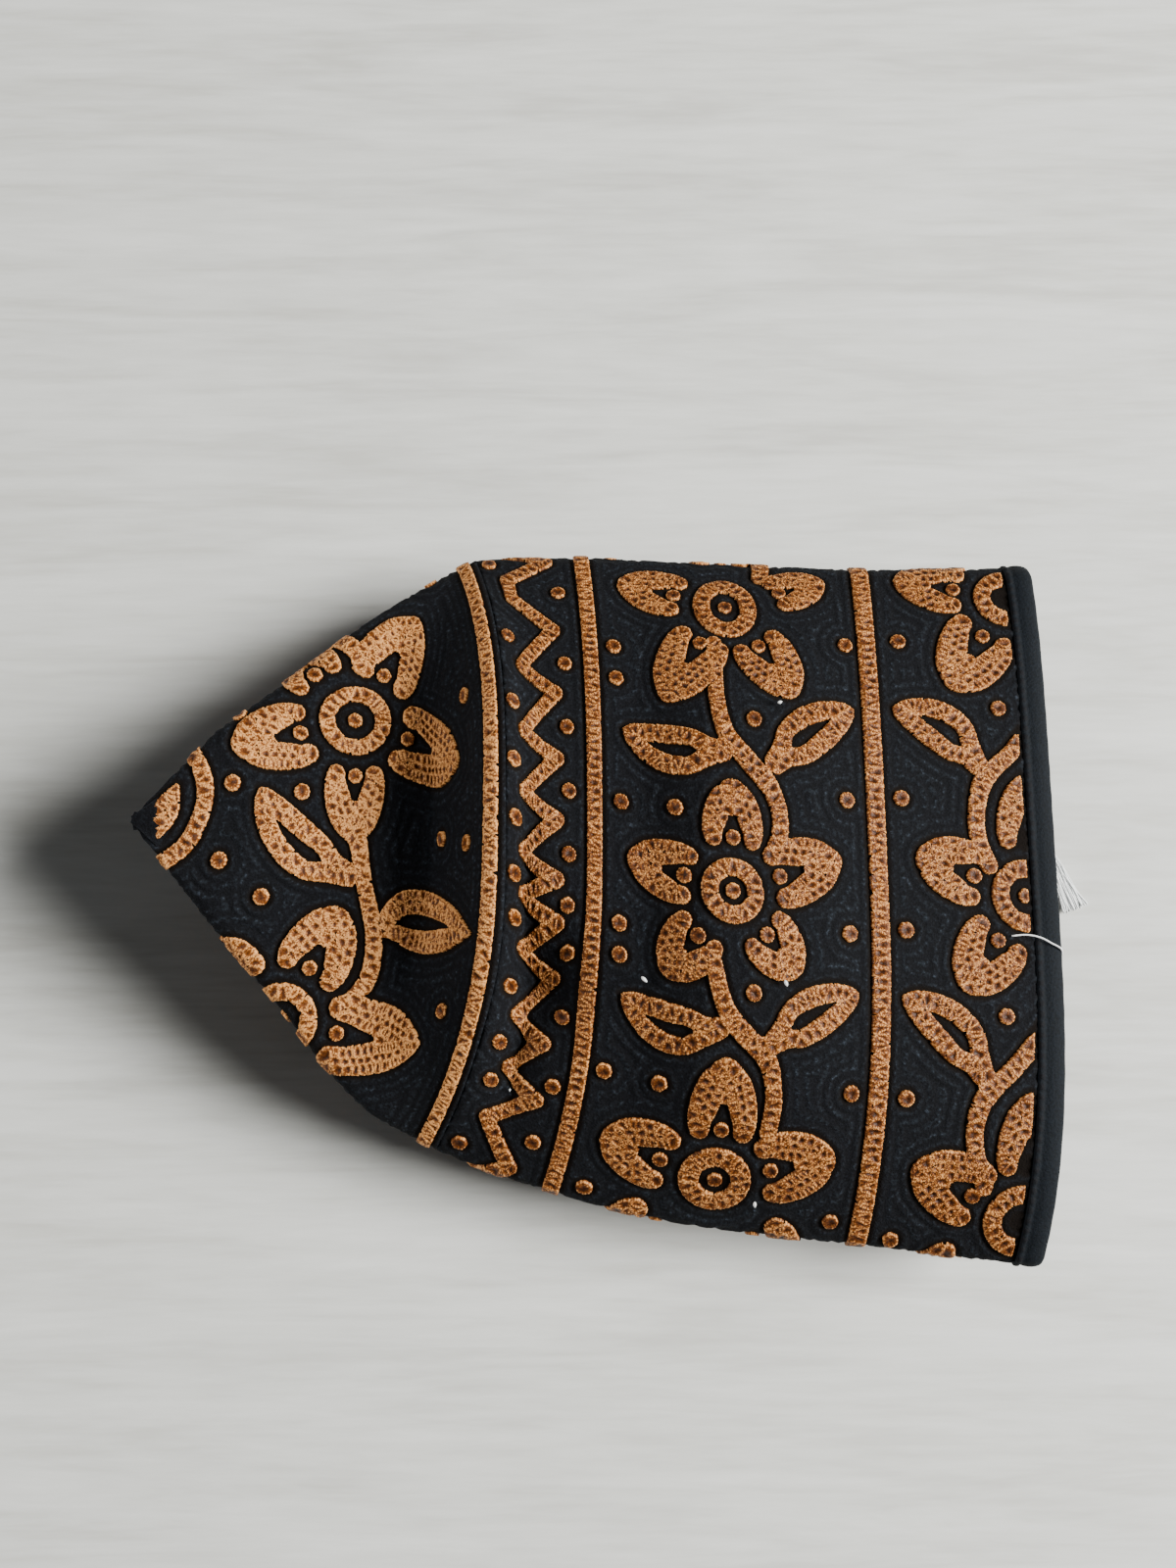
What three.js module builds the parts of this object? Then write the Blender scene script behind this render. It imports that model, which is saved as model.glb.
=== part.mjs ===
// A round embroidered prayer cap, folded in quarters and laid on its side.
// Millimetres, +Z up. The crown's centre is the point at -X and the head opening faces +X.
// The cap is a flat round crown sewn to a straight side wall with a turned hem. Folded in quarters it
// has a front panel on top, a back panel flat on the floor, and a gusset folded in at each side.

import * as THREE from 'three';

// Driving dimensions of the cap
const CROWN_RADIUS = 92;
const WALL_HEIGHT = 122;
const HEM_WIDTH = 6;
const CLOTH = 2;
const SEAM_GAP = 0.6;

// The share of the round cap that the front panel takes, as a length along the cloth at the seam
const FRONT_LENGTH = 150;

// The crown is a solid point up to this radius, where the four folded layers press together
const POINT_RADIUS = 24;
const POINT = new THREE.Vector3(-91.0, -15.2, 36.6);

// Distances along the cloth from the crown's centre
const SEAM = CROWN_RADIUS;
const RIM = CROWN_RADIUS + WALL_HEIGHT;
const HEM = RIM - HEM_WIDTH;

// The hem's section: how far it stands out of the cloth's middle surface on each side
const HEM_OUT = 1.4;
const HEM_IN = 1.6;
const HEM_ROUND = 1;

// Sections across the folded cap, at the cloth's middle surface. along is the distance along the cloth
// from the crown's centre. upX, upY, upZ is the front's ridge at +Y, downX, downY, downZ the one at -Y,
// topX and topZ the middle of the front's arch, and backX and backZ the middle of the back panel.
// arch is the power of the arch's curve: 2 is a round arch, 4 a flat one with curved-down sides.
// upRound and downRound are the two ridges' radii. foldZ and foldRound are the height and radius of the
// gussets' inner folds, channel is half the gap between those two folds, and bow lifts the gussets' cloth.
const COLUMNS = [
  'along', 'upX', 'upY', 'upZ', 'downX', 'downY', 'downZ', 'topX', 'topZ', 'backX', 'backZ',
  'arch', 'upRound', 'downRound', 'foldZ', 'foldRound', 'channel', 'bow',
];
const SECTIONS = [
  [24, -74.9, 2.4, 34.5, -75.3, -33.3, 33.5, -67.3, 37.0, -69.0, 26.2, 2.0, 2.0, 1.8, 31.0, 1.6, 2.0, 0],
  [50, -56.0, 19.4, 28.5, -59.2, -52.8, 27.5, -42.4, 33.2, -46.0, 15.0, 2.0, 4.0, 2.0, 22.5, 1.8, 3.0, 2],
  [62, -47.0, 28.0, 25.2, -52.0, -62.3, 24.2, -31.8, 31.4, -35.0, 9.0, 2.0, 4.7, 2.0, 18.0, 1.9, 4.0, 4],
  [76, -36.5, 36.5, 21.5, -43.5, -71.0, 21.0, -24.2, 40.2, -25.0, 4.0, 2.0, 5.5, 2.1, 15.0, 2.0, 4.6, 6],
  [88, -27.6, 43.0, 18.5, -33.4, -76.8, 18.2, -18.6, 49.6, -19.0, 1.3, 2.0, 6.0, 2.2, 13.0, 2.0, 5.0, 7],
  [92, -24.4, 44.6, 18.4, -30.2, -78.4, 18.0, -15.8, 50.4, -16.0, 1.0, 2.0, 6.0, 2.2, 13.0, 2.0, 5.0, 7],
  [98, -18.6, 44.8, 18.6, -24.4, -80.8, 17.6, -12.6, 46.2, -11.0, 1.0, 2.0, 6.2, 2.2, 12.8, 2.0, 5.0, 7],
  [104, -12.8, 44.8, 18.8, -18.6, -83.0, 17.2, -8.6, 44.0, -6.0, 1.0, 2.0, 6.4, 2.2, 12.6, 2.0, 5.2, 6],
  [116, -1.2, 45.0, 19.0, -6.9, -86.6, 17.0, 1.7, 42.6, 5.0, 1.0, 2.1, 6.8, 2.2, 12.0, 2.0, 5.5, 6],
  [124, 6.8, 44.6, 19.0, 1.4, -89.0, 17.0, 8.9, 42.4, 12.6, 1.0, 2.1, 6.8, 2.2, 11.6, 2.0, 5.6, 6],
  [140, 22.8, 43.8, 19.0, 18.0, -92.6, 17.0, 23.6, 46.0, 27.4, 1.0, 2.2, 7.0, 2.2, 11.2, 2.0, 5.9, 4],
  [160, 42.4, 43.0, 18.6, 37.8, -95.2, 17.0, 41.8, 42.4, 46.0, 1.0, 2.5, 6.8, 2.2, 10.6, 2.1, 6.2, 3],
  [177, 59.4, 42.6, 18.2, 54.4, -96.8, 17.0, 57.6, 37.0, 62.0, 1.0, 2.8, 6.6, 2.2, 10.4, 2.2, 6.5, 2],
  [200, 82.0, 43.0, 17.4, 76.6, -99.4, 17.4, 81.0, 31.4, 83.0, 1.0, 3.4, 6.2, 2.4, 10.0, 2.2, 7.0, 1],
  [208, 90.0, 43.3, 17.1, 84.4, -100.2, 17.8, 88.9, 29.6, 91.0, 1.4, 3.8, 6.0, 2.5, 10.0, 2.2, 7.0, 1],
  [214, 96.0, 43.4, 17.0, 90.2, -100.4, 18.0, 94.9, 28.4, 97.0, 1.4, 4.0, 6.0, 2.5, 10.0, 2.2, 7.0, 1],
];

// How far the back panel's ridges lie inside the front's, and how fast the rows bend towards the ridges
const BACK_TUCK = 1.5;
const ROW_BEND = 2.6;

// The lower layer of each gusset bows a little less than the upper one, so the two stay apart
const LOWER_BOW = 0.8;

// Dents and ridges pressed into the front, as rounded hollows. across is the distance round the cap from
// the upper ridge, along is as above, wide and long are the radii in those directions, and lift is the
// height, negative for a hollow.
const DENTS = [
  { across: 96, along: 98, wide: 22, long: 4.5, lift: -3 },
  { across: 104, along: 105, wide: 11, long: 8, lift: -6 },
  { across: 122, along: 102, wide: 12, long: 4, lift: -3 },
];

// Number of faces along each stretch of a section, from the middle of the front round to that of the back
const FACES = { front: 12, ridge: 3, gusset: 5, fold: 4, back: 4 };

// The middle of the lying cap's base in the frame of the sections, which becomes the part's origin
const ORIGIN = new THREE.Vector3(3.0, -27.9, 0);

// Stations of the cloth's rows, closer together where the seam and the dents bend it
const CROWN_ROWS = [24, 33, 42, 51, 60, 67, 74, 80, 85, 88.5, SEAM - SEAM_GAP / 2];
const WALL_ROWS = [
  SEAM + SEAM_GAP / 2, 94.5, 97, 100, 104, 109, 116, 126, 136, 146, 156, 166, 177, 188, 198, HEM - SEAM_GAP / 2,
];

// Slope of a curve through the table's rows that never overshoots them
function slopeAt(rows, index, column) {
  const before = rows[Math.max(index - 1, 0)];
  const here = rows[index];
  const after = rows[Math.min(index + 1, rows.length - 1)];
  if (before === here) return (after[column] - here[column]) / (after[0] - here[0]);
  if (after === here) return (here[column] - before[column]) / (here[0] - before[0]);
  const left = (here[column] - before[column]) / (here[0] - before[0]);
  const right = (after[column] - here[column]) / (after[0] - here[0]);
  return left * right > 0 ? 2 * left * right / (left + right) : 0;
}

// The table's values at any distance along the cloth
function sectionValues(along) {
  const last = SECTIONS.length - 2;
  let row = 0;
  while (row < last && SECTIONS[row + 1][0] < along) row += 1;
  const start = SECTIONS[row];
  const end = SECTIONS[row + 1];
  const step = end[0] - start[0];
  const u = (along - start[0]) / step;
  const values = {};
  COLUMNS.forEach((name, column) => {
    const leave = slopeAt(SECTIONS, row, column) * step;
    const arrive = slopeAt(SECTIONS, row + 1, column) * step;
    const rise = end[column] - start[column];
    values[name] = start[column] + u * (leave + u * (3 * rise - 2 * leave - arrive + u * (leave + arrive - 2 * rise)));
  });
  return values;
}

const mix = (a, b, u) => a + (b - a) * u;
const ease = (u) => u * u * (3 - 2 * u);

// Slope angle where the front's arch runs into the rounded ridge, found by repeated steps
function ridgeAngle(half, top, height, round, arch) {
  const passes = 12;
  let angle = 0;
  for (let pass = 0; pass < passes; pass += 1) {
    const reach = half - round * (1 - Math.sin(angle));
    const rise = top - height - round * Math.cos(angle);
    angle = Math.atan(arch * rise / reach);
  }
  return angle;
}

// One half of a section, from the middle of the front to the middle of the back, as [out, x, z] points,
// where out is the distance from the cap's long axis
function halfSection(v, half, edgeX, height, round) {
  const angle = ridgeAngle(half, v.topZ, height, round, v.arch);
  const reach = half - round * (1 - Math.sin(angle));
  const rise = v.topZ - height - round * Math.cos(angle);
  const bendX = (out) => v.topX - (v.topX - edgeX) * (Math.max(out, 0) / half) ** ROW_BEND;
  const foldOut = v.channel + CLOTH / 2 + v.foldRound;
  const backOut = half - BACK_TUCK - v.foldRound;
  const front = [];
  for (let i = 0; i < FACES.front; i += 1) {
    const u = i / FACES.front;
    front.push([reach * u, bendX(reach * u), v.topZ - rise * u ** v.arch]);
  }
  const ridge = [];
  for (let i = 0; i < 2 * FACES.ridge; i += 1) {
    const turn = i < FACES.ridge
      ? mix(Math.PI / 2 - angle, 0, i / FACES.ridge)
      : mix(0, -Math.PI / 2, i / FACES.ridge - 1);
    const out = half - round * (1 - Math.cos(turn));
    ridge.push([out, i < FACES.ridge ? bendX(out) : edgeX, height + round * Math.sin(turn)]);
  }
  const upper = [];
  const lower = [];
  for (let i = 0; i < FACES.gusset; i += 1) {
    const u = i / FACES.gusset;
    const bow = v.bow * Math.sin(Math.PI * u) ** 2;
    const inX = mix(edgeX, v.backX, ease(u));
    const outX = mix(v.backX, edgeX, ease(u));
    upper.push([mix(half - round, foldOut, u), inX, mix(height - round, v.foldZ + v.foldRound, ease(u)) + bow]);
    lower.push([
      mix(foldOut, backOut, u), outX,
      mix(v.foldZ - v.foldRound, v.backZ + 2 * v.foldRound, ease(u)) + LOWER_BOW * bow,
    ]);
  }
  const innerFold = [];
  const backFold = [];
  for (let i = 0; i < FACES.fold; i += 1) {
    const turn = Math.PI * (i / FACES.fold - 0.5);
    innerFold.push([foldOut - v.foldRound * Math.cos(turn), v.backX, v.foldZ - v.foldRound * Math.sin(turn)]);
    backFold.push([
      backOut + v.foldRound * Math.cos(turn), edgeX, v.backZ + v.foldRound * (1 - Math.sin(turn)),
    ]);
  }
  const back = [];
  for (let i = 0; i <= FACES.back; i += 1) {
    const u = i / FACES.back;
    back.push([mix(backOut, 0, u), mix(edgeX, v.backX, ease(u)), v.backZ]);
  }
  return [...front, ...ridge, ...upper, ...innerFold, ...lower, ...backFold, ...back];
}

// Height that the dents add at a place on the front
function dentLift(across, along) {
  let lift = 0;
  for (const dent of DENTS) {
    const u = (across - dent.across) / dent.wide;
    const w = (along - dent.along) / dent.long;
    lift += dent.lift * Math.exp(-u * u - w * w);
  }
  return lift;
}

// The whole closed section at a distance along the cloth: over the front from the middle to -Y, back
// along the floor and up over +Y to the middle again
function sectionLoop(along) {
  const v = sectionValues(along);
  const axisY = (v.upY + v.downY) / 2;
  const half = (v.upY - v.downY) / 2;
  const down = halfSection(v, half, v.downX, v.downZ, v.downRound);
  const up = halfSection(v, half, v.upX, v.upZ, v.upRound);
  const points = down.map(([out, x, z]) => new THREE.Vector3(x, axisY - out, z));
  for (let i = up.length - 2; i > 0; i -= 1) {
    const [out, x, z] = up[i];
    points.push(new THREE.Vector3(x, axisY + out, z));
  }
  pressDents(points, up.length, along);
  return points;
}

// Presses the dents into the front's points, by their distance along the section from the upper ridge
function pressDents(points, halfCount, along) {
  const frontCount = FACES.front + FACES.ridge;
  const front = [];
  for (let i = -frontCount; i <= frontCount; i += 1) front.push(points[(i + points.length) % points.length]);
  const reach = [0];
  for (let i = 1; i < front.length; i += 1) reach.push(reach[i - 1] + front[i].distanceTo(front[i - 1]));
  const scale = FRONT_LENGTH / reach[reach.length - 1];
  front.forEach((point, i) => {
    point.z += dentLift(reach[i] * scale, along);
  });
}

// Directions out of the cloth along a row. Two pieces that meet at a seam share the seam's directions.
function outwards(along) {
  const line = [SEAM, HEM].find((edge) => Math.abs(edge - along) < SEAM_GAP) ?? along;
  const probe = 0.4;
  const row = sectionLoop(line);
  const before = sectionLoop(Math.max(line - probe, POINT_RADIUS));
  const after = sectionLoop(Math.min(line + probe, RIM));
  const count = row.length;
  return row.map((point, i) => {
    const round = row[(i + 1) % count].clone().sub(row[(i + count - 1) % count]);
    return round.cross(after[i].clone().sub(before[i])).normalize();
  });
}

// Points of a row on one side of the cloth, a distance out of its middle surface
function offsetRow(along, distance) {
  const directions = outwards(along);
  return sectionLoop(along).map((point, i) => point.addScaledVector(directions[i], distance));
}

// Joins two rows of points with triangles that face out when the second row lies further along
function bridge(triangles, first, second, count) {
  for (let i = 0; i < count; i += 1) {
    const next = (i + 1) % count;
    triangles.push(first + i, first + next, second + i);
    triangles.push(first + next, second + next, second + i);
  }
}

function solid(points, triangles) {
  const geometry = new THREE.BufferGeometry();
  const positions = points.flatMap((point) => [point.x, point.y, point.z]);
  geometry.setAttribute('position', new THREE.Float32BufferAttribute(positions, 3));
  geometry.setIndex(triangles);
  geometry.computeVertexNormals();
  return geometry;
}

// A band of cloth swept round the folded cap. Its profile is a closed list of [along, offset] pairs that
// runs along the outside and back along the inside.
function sweptBand(profile) {
  const rows = profile.map(([along, offset]) => offsetRow(along, offset));
  const count = rows[0].length;
  const triangles = [];
  for (let i = 0; i < rows.length; i += 1) bridge(triangles, i * count, (i + 1) % rows.length * count, count);
  return solid(rows.flat(), triangles);
}

// The crown: a folded cone of cloth with a solid point
function crown() {
  const outer = CROWN_ROWS.map((along) => offsetRow(along, CLOTH / 2));
  const inner = [...CROWN_ROWS].reverse().map((along) => offsetRow(along, -CLOTH / 2));
  const rows = [...outer, ...inner];
  const count = rows[0].length;
  const triangles = [];
  for (let i = 0; i + 1 < rows.length; i += 1) bridge(triangles, i * count, (i + 1) * count, count);
  const tip = rows.length * count;
  for (let i = 0; i < count; i += 1) triangles.push(tip, (i + 1) % count, i);
  const closing = rows[rows.length - 1];
  const first = (rows.length - 1) * count;
  const faces = THREE.ShapeUtils.triangulateShape(closing.map((point) => new THREE.Vector2(point.y, point.z)), []);
  for (const [a, b, c] of faces) triangles.push(first + a, first + b, first + c);
  return solid([...rows.flat(), POINT], triangles);
}

function sideWall() {
  const outside = WALL_ROWS.map((along) => [along, CLOTH / 2]);
  const inside = WALL_ROWS.map((along) => [along, -CLOTH / 2]).reverse();
  return sweptBand([...outside, ...inside]);
}

function rimBinding() {
  const start = HEM + SEAM_GAP / 2;
  return sweptBand([
    [start, CLOTH / 2],
    [start + HEM_ROUND, HEM_OUT],
    [RIM - HEM_ROUND, HEM_OUT],
    [RIM, HEM_OUT - HEM_ROUND],
    [RIM, HEM_ROUND - HEM_IN],
    [RIM - HEM_ROUND, -HEM_IN],
    [start + HEM_ROUND, -HEM_IN],
    [start, -CLOTH / 2],
  ]);
}

const EMBROIDERED_CLOTH = { color: '#3a2c22', roughness: 0.85 };
const BLACK_CLOTH = { color: '#171a20', roughness: 0.9 };

function piece(name, geometry, cloth) {
  const mesh = new THREE.Mesh(geometry, new THREE.MeshStandardMaterial({ ...cloth, metalness: 0 }));
  mesh.name = name;
  return mesh;
}

const cap = new THREE.Group();
cap.add(piece('crown', crown(), EMBROIDERED_CLOTH));
cap.add(piece('side_wall', sideWall(), EMBROIDERED_CLOTH));
cap.add(piece('rim_binding', rimBinding(), BLACK_CLOTH));
cap.position.copy(ORIGIN).negate();

export default cap;
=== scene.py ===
# An embroidered prayer cap, folded in quarters and lying on its side.
# The cloth is a flat round crown sewn to a straight side wall with a turned hem. Its front, gussets and back
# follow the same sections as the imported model. Sizes are in millimetres until a mesh is made.

import math
import random

import bpy
import numpy as np
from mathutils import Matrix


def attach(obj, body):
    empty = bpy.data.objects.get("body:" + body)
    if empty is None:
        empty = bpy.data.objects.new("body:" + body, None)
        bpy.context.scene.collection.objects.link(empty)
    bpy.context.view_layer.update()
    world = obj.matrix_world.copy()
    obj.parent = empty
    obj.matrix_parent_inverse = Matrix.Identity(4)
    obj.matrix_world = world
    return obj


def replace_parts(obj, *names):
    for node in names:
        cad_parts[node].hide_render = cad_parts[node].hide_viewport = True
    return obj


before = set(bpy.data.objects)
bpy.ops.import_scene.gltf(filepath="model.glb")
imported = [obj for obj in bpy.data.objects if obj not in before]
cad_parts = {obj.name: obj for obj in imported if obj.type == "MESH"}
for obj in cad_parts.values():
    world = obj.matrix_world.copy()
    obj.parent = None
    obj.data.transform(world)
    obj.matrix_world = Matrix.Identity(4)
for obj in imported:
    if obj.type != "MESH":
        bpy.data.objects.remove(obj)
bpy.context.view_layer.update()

random.seed(7)
chance = np.random.default_rng(7)

MM = 0.001

# Driving sizes of the cap
CROWN_RADIUS = 92.0
WALL_HEIGHT = 122.0
HEM_WIDTH = 6.0
CLOTH = 2.0
FRONT_LENGTH = 150.0
POINT_RADIUS = 24.0
POINT = np.array((-91.0, -15.2, 36.6))
ORIGIN = np.array((3.0, -27.9, 0.0))

# Distances along the cloth from the crown's centre, and the way round the side wall
SEAM = CROWN_RADIUS
RIM = CROWN_RADIUS + WALL_HEIGHT
HEM = RIM - HEM_WIDTH
SEWN_GAP = 0.04
GIRTH = 2 * math.pi * CROWN_RADIUS

# Points along each stretch of a section, and rounds that settle the slope at a ridge
STRETCH_POINTS = 40
SLOPE_ROUNDS = 12

# Sections across the folded cap at the cloth's middle surface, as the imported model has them
COLUMNS = ("along", "upX", "upY", "upZ", "downX", "downY", "downZ", "topX", "topZ", "backX", "backZ",
           "arch", "upRound", "downRound", "foldZ", "foldRound", "channel", "bow")
SECTIONS = np.array((
    (24, -74.9, 2.4, 34.5, -75.3, -33.3, 33.5, -67.3, 37.0, -69.0, 26.2, 2.0, 2.0, 1.8, 31.0, 1.6, 2.0, 0),
    (50, -56.0, 19.4, 28.5, -59.2, -52.8, 27.5, -42.4, 33.2, -46.0, 15.0, 2.0, 4.0, 2.0, 22.5, 1.8, 3.0, 2),
    (62, -47.0, 28.0, 25.2, -52.0, -62.3, 24.2, -31.8, 31.4, -35.0, 9.0, 2.0, 4.7, 2.0, 18.0, 1.9, 4.0, 4),
    (76, -36.5, 36.5, 21.5, -43.5, -71.0, 21.0, -24.2, 40.2, -25.0, 4.0, 2.0, 5.5, 2.1, 15.0, 2.0, 4.6, 6),
    (88, -27.6, 43.0, 18.5, -33.4, -76.8, 18.2, -18.6, 49.6, -19.0, 1.3, 2.0, 6.0, 2.2, 13.0, 2.0, 5.0, 7),
    (92, -24.4, 44.6, 18.4, -30.2, -78.4, 18.0, -15.8, 50.4, -16.0, 1.0, 2.0, 6.0, 2.2, 13.0, 2.0, 5.0, 7),
    (98, -18.6, 44.8, 18.6, -24.4, -80.8, 17.6, -12.6, 46.2, -11.0, 1.0, 2.0, 6.2, 2.2, 12.8, 2.0, 5.0, 7),
    (104, -12.8, 44.8, 18.8, -18.6, -83.0, 17.2, -8.6, 44.0, -6.0, 1.0, 2.0, 6.4, 2.2, 12.6, 2.0, 5.2, 6),
    (116, -1.2, 45.0, 19.0, -6.9, -86.6, 17.0, 1.7, 42.6, 5.0, 1.0, 2.1, 6.8, 2.2, 12.0, 2.0, 5.5, 6),
    (124, 6.8, 44.6, 19.0, 1.4, -89.0, 17.0, 8.9, 42.4, 12.6, 1.0, 2.1, 6.8, 2.2, 11.6, 2.0, 5.6, 6),
    (140, 22.8, 43.8, 19.0, 18.0, -92.6, 17.0, 23.6, 46.0, 27.4, 1.0, 2.2, 7.0, 2.2, 11.2, 2.0, 5.9, 4),
    (160, 42.4, 43.0, 18.6, 37.8, -95.2, 17.0, 41.8, 42.4, 46.0, 1.0, 2.5, 6.8, 2.2, 10.6, 2.1, 6.2, 3),
    (177, 59.4, 42.6, 18.2, 54.4, -96.8, 17.0, 57.6, 37.0, 62.0, 1.0, 2.8, 6.6, 2.2, 10.4, 2.2, 6.5, 2),
    (200, 82.0, 43.0, 17.4, 76.6, -99.4, 17.4, 81.0, 31.4, 83.0, 1.0, 3.4, 6.2, 2.4, 10.0, 2.2, 7.0, 1),
    (208, 90.0, 43.3, 17.1, 84.4, -100.2, 17.8, 88.9, 29.6, 91.0, 1.4, 3.8, 6.0, 2.5, 10.0, 2.2, 7.0, 1),
    (214, 96.0, 43.4, 17.0, 90.2, -100.4, 18.0, 94.9, 28.4, 97.0, 1.4, 4.0, 6.0, 2.5, 10.0, 2.2, 7.0, 1),
))

# How far the back is tucked in from the ridges, how sharply the rows bend back near them, and the bow of a
# gusset's lower leaf as a share of the upper one's
BACK_TUCK = 1.5
ROW_BEND = 2.6
LOWER_BOW = 0.8

# Dents in the front: place across it, place along, width, length and height
DENTS = ((96, 98, 22, 4.5, -3), (104, 105, 11, 8, -6), (122, 102, 12, 4, -3))

# Where the dents end along the cloth, and how close the inner face's rows stand up to there
DENTED_TO = 120.0
DENTED_ROW = 2.5

# Angles round the cap at its folds: the upper and lower front ridges, the lower gusset's inner fold, the two
# back ridges and the upper gusset's inner fold
FOLDS = (0.0, 93.5, 137.0, 180.5, 272.8, 316.4, 360.0)

# How far the gold stitching stands on the cloth. Under the cap its crests stay a gap above the floor, lower
# places are pressed to a share of their depth, and a direction below this one counts as facing the floor.
GOLD_RISE = 0.75
FLOOR_GAP = 0.02
PRESSED = 0.75
FACES_FLOOR = -0.5


def angles_round(front, hidden):
    """Angles round the cap, with one spacing in front and another where the cap hides them."""
    return np.concatenate((np.arange(0.0, FOLDS[1], front), np.arange(FOLDS[1], 360.0, hidden)))


# Columns round the cap of the face that all is laid on, and of the meshes of side wall, crown and hem
SKIN_ANGLES = angles_round(0.25, 0.5)
CLOTH_ANGLES = angles_round(0.4, 1.5)
CROWN_ANGLES = angles_round(0.55, 2.0)
HEM_ANGLES = angles_round(0.2, 0.5)


def row_slopes():
    """Slopes of curves through the sections that never overshoot them."""
    rise = np.diff(SECTIONS, axis=0) / np.diff(SECTIONS[:, :1], axis=0)
    left, right = rise[:-1], rise[1:]
    same = left * right > 0
    inner = np.where(same, 2 * left * right / np.where(same, left + right, 1.0), 0.0)
    return np.vstack((rise[:1], inner, rise[-1:]))


SLOPES = row_slopes()


def section_values(along):
    """The sections' columns at a distance along the cloth."""
    row = int(np.clip(np.searchsorted(SECTIONS[:, 0], along) - 1, 0, len(SECTIONS) - 2))
    start, end = SECTIONS[row], SECTIONS[row + 1]
    step = end[0] - start[0]
    u = (along - start[0]) / step
    leave, arrive, rise = SLOPES[row] * step, SLOPES[row + 1] * step, end - start
    values = start + u * (leave + u * (3 * rise - 2 * leave - arrive + u * (leave + arrive - 2 * rise)))
    return dict(zip(COLUMNS, values))


def ease(u):
    return u * u * (3 - 2 * u)


def ridge_angle(half, top, height, radius, arch):
    """Slope angle where the front's arch runs into the rounded ridge."""
    angle = 0.0
    for _ in range(SLOPE_ROUNDS):
        reach = half - radius * (1 - math.sin(angle))
        rise = top - height - radius * math.cos(angle)
        angle = math.atan(arch * rise / reach)
    return angle


def stretch(out, x, z):
    """Points of one stretch of half a section."""
    return np.stack(np.broadcast_arrays(out, x, z), 1)


def half_section(v, half, edge_x, height, radius):
    """Half a section from the front's middle to the back's, as stretches of (out, x, z) points."""
    angle = ridge_angle(half, v["topZ"], height, radius, v["arch"])
    reach = half - radius * (1 - math.sin(angle))
    rise = v["topZ"] - height - radius * math.cos(angle)
    fold_out = v["channel"] + CLOTH / 2 + v["foldRound"]
    back_out = half - BACK_TUCK - v["foldRound"]
    u = np.linspace(0.0, 1.0, STRETCH_POINTS)

    def bend_x(out):
        return v["topX"] - (v["topX"] - edge_x) * (np.maximum(out, 0) / half) ** ROW_BEND

    front = stretch(reach * u, bend_x(reach * u), v["topZ"] - rise * u ** v["arch"])
    turn = (math.pi / 2 - angle) * (1 - u)
    out = half - radius * (1 - np.cos(turn))
    over = stretch(out, bend_x(out), height + radius * np.sin(turn))
    turn = -math.pi / 2 * u
    out = half - radius * (1 - np.cos(turn))
    under = stretch(out, edge_x, height + radius * np.sin(turn))
    bow = v["bow"] * np.sin(math.pi * u) ** 2
    fold_top, fold_base = v["foldZ"] + v["foldRound"], v["foldZ"] - v["foldRound"]
    upper = stretch(half - radius + (fold_out - half + radius) * u, edge_x + (v["backX"] - edge_x) * ease(u),
                    height - radius + (fold_top - height + radius) * ease(u) + bow)
    turn = math.pi * (u - 0.5)
    inner = stretch(fold_out - v["foldRound"] * np.cos(turn), v["backX"],
                    v["foldZ"] - v["foldRound"] * np.sin(turn))
    lower_end = v["backZ"] + 2 * v["foldRound"]
    lower = stretch(fold_out + (back_out - fold_out) * u, v["backX"] + (edge_x - v["backX"]) * ease(u),
                    fold_base + (lower_end - fold_base) * ease(u) + LOWER_BOW * bow)
    last = stretch(back_out + v["foldRound"] * np.cos(turn), edge_x,
                   v["backZ"] + v["foldRound"] * (1 - np.sin(turn)))
    back = stretch(back_out * (1 - u), edge_x + (v["backX"] - edge_x) * ease(u), v["backZ"])
    middle = len(u) // 2
    return (np.vstack((front, over)), under, upper, inner[:middle], inner[middle:], lower,
            last[:middle], last[middle:], back)


def dent_lift(across, along):
    """Height that the dents add at places across the front."""
    lift = 0.0
    for place, station, wide, long, height in DENTS:
        lift = lift + height * np.exp(-((across - place) / wide) ** 2 - ((along - station) / long) ** 2)
    return lift


def along_curve(points, fractions):
    """Points at fractions of a polyline's length."""
    reach = np.concatenate(((0.0,), np.cumsum(np.linalg.norm(np.diff(points, axis=0), axis=1))))
    reach /= reach[-1]
    return np.stack([np.interp(fractions, reach, points[:, k]) for k in range(3)], 1)


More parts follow.
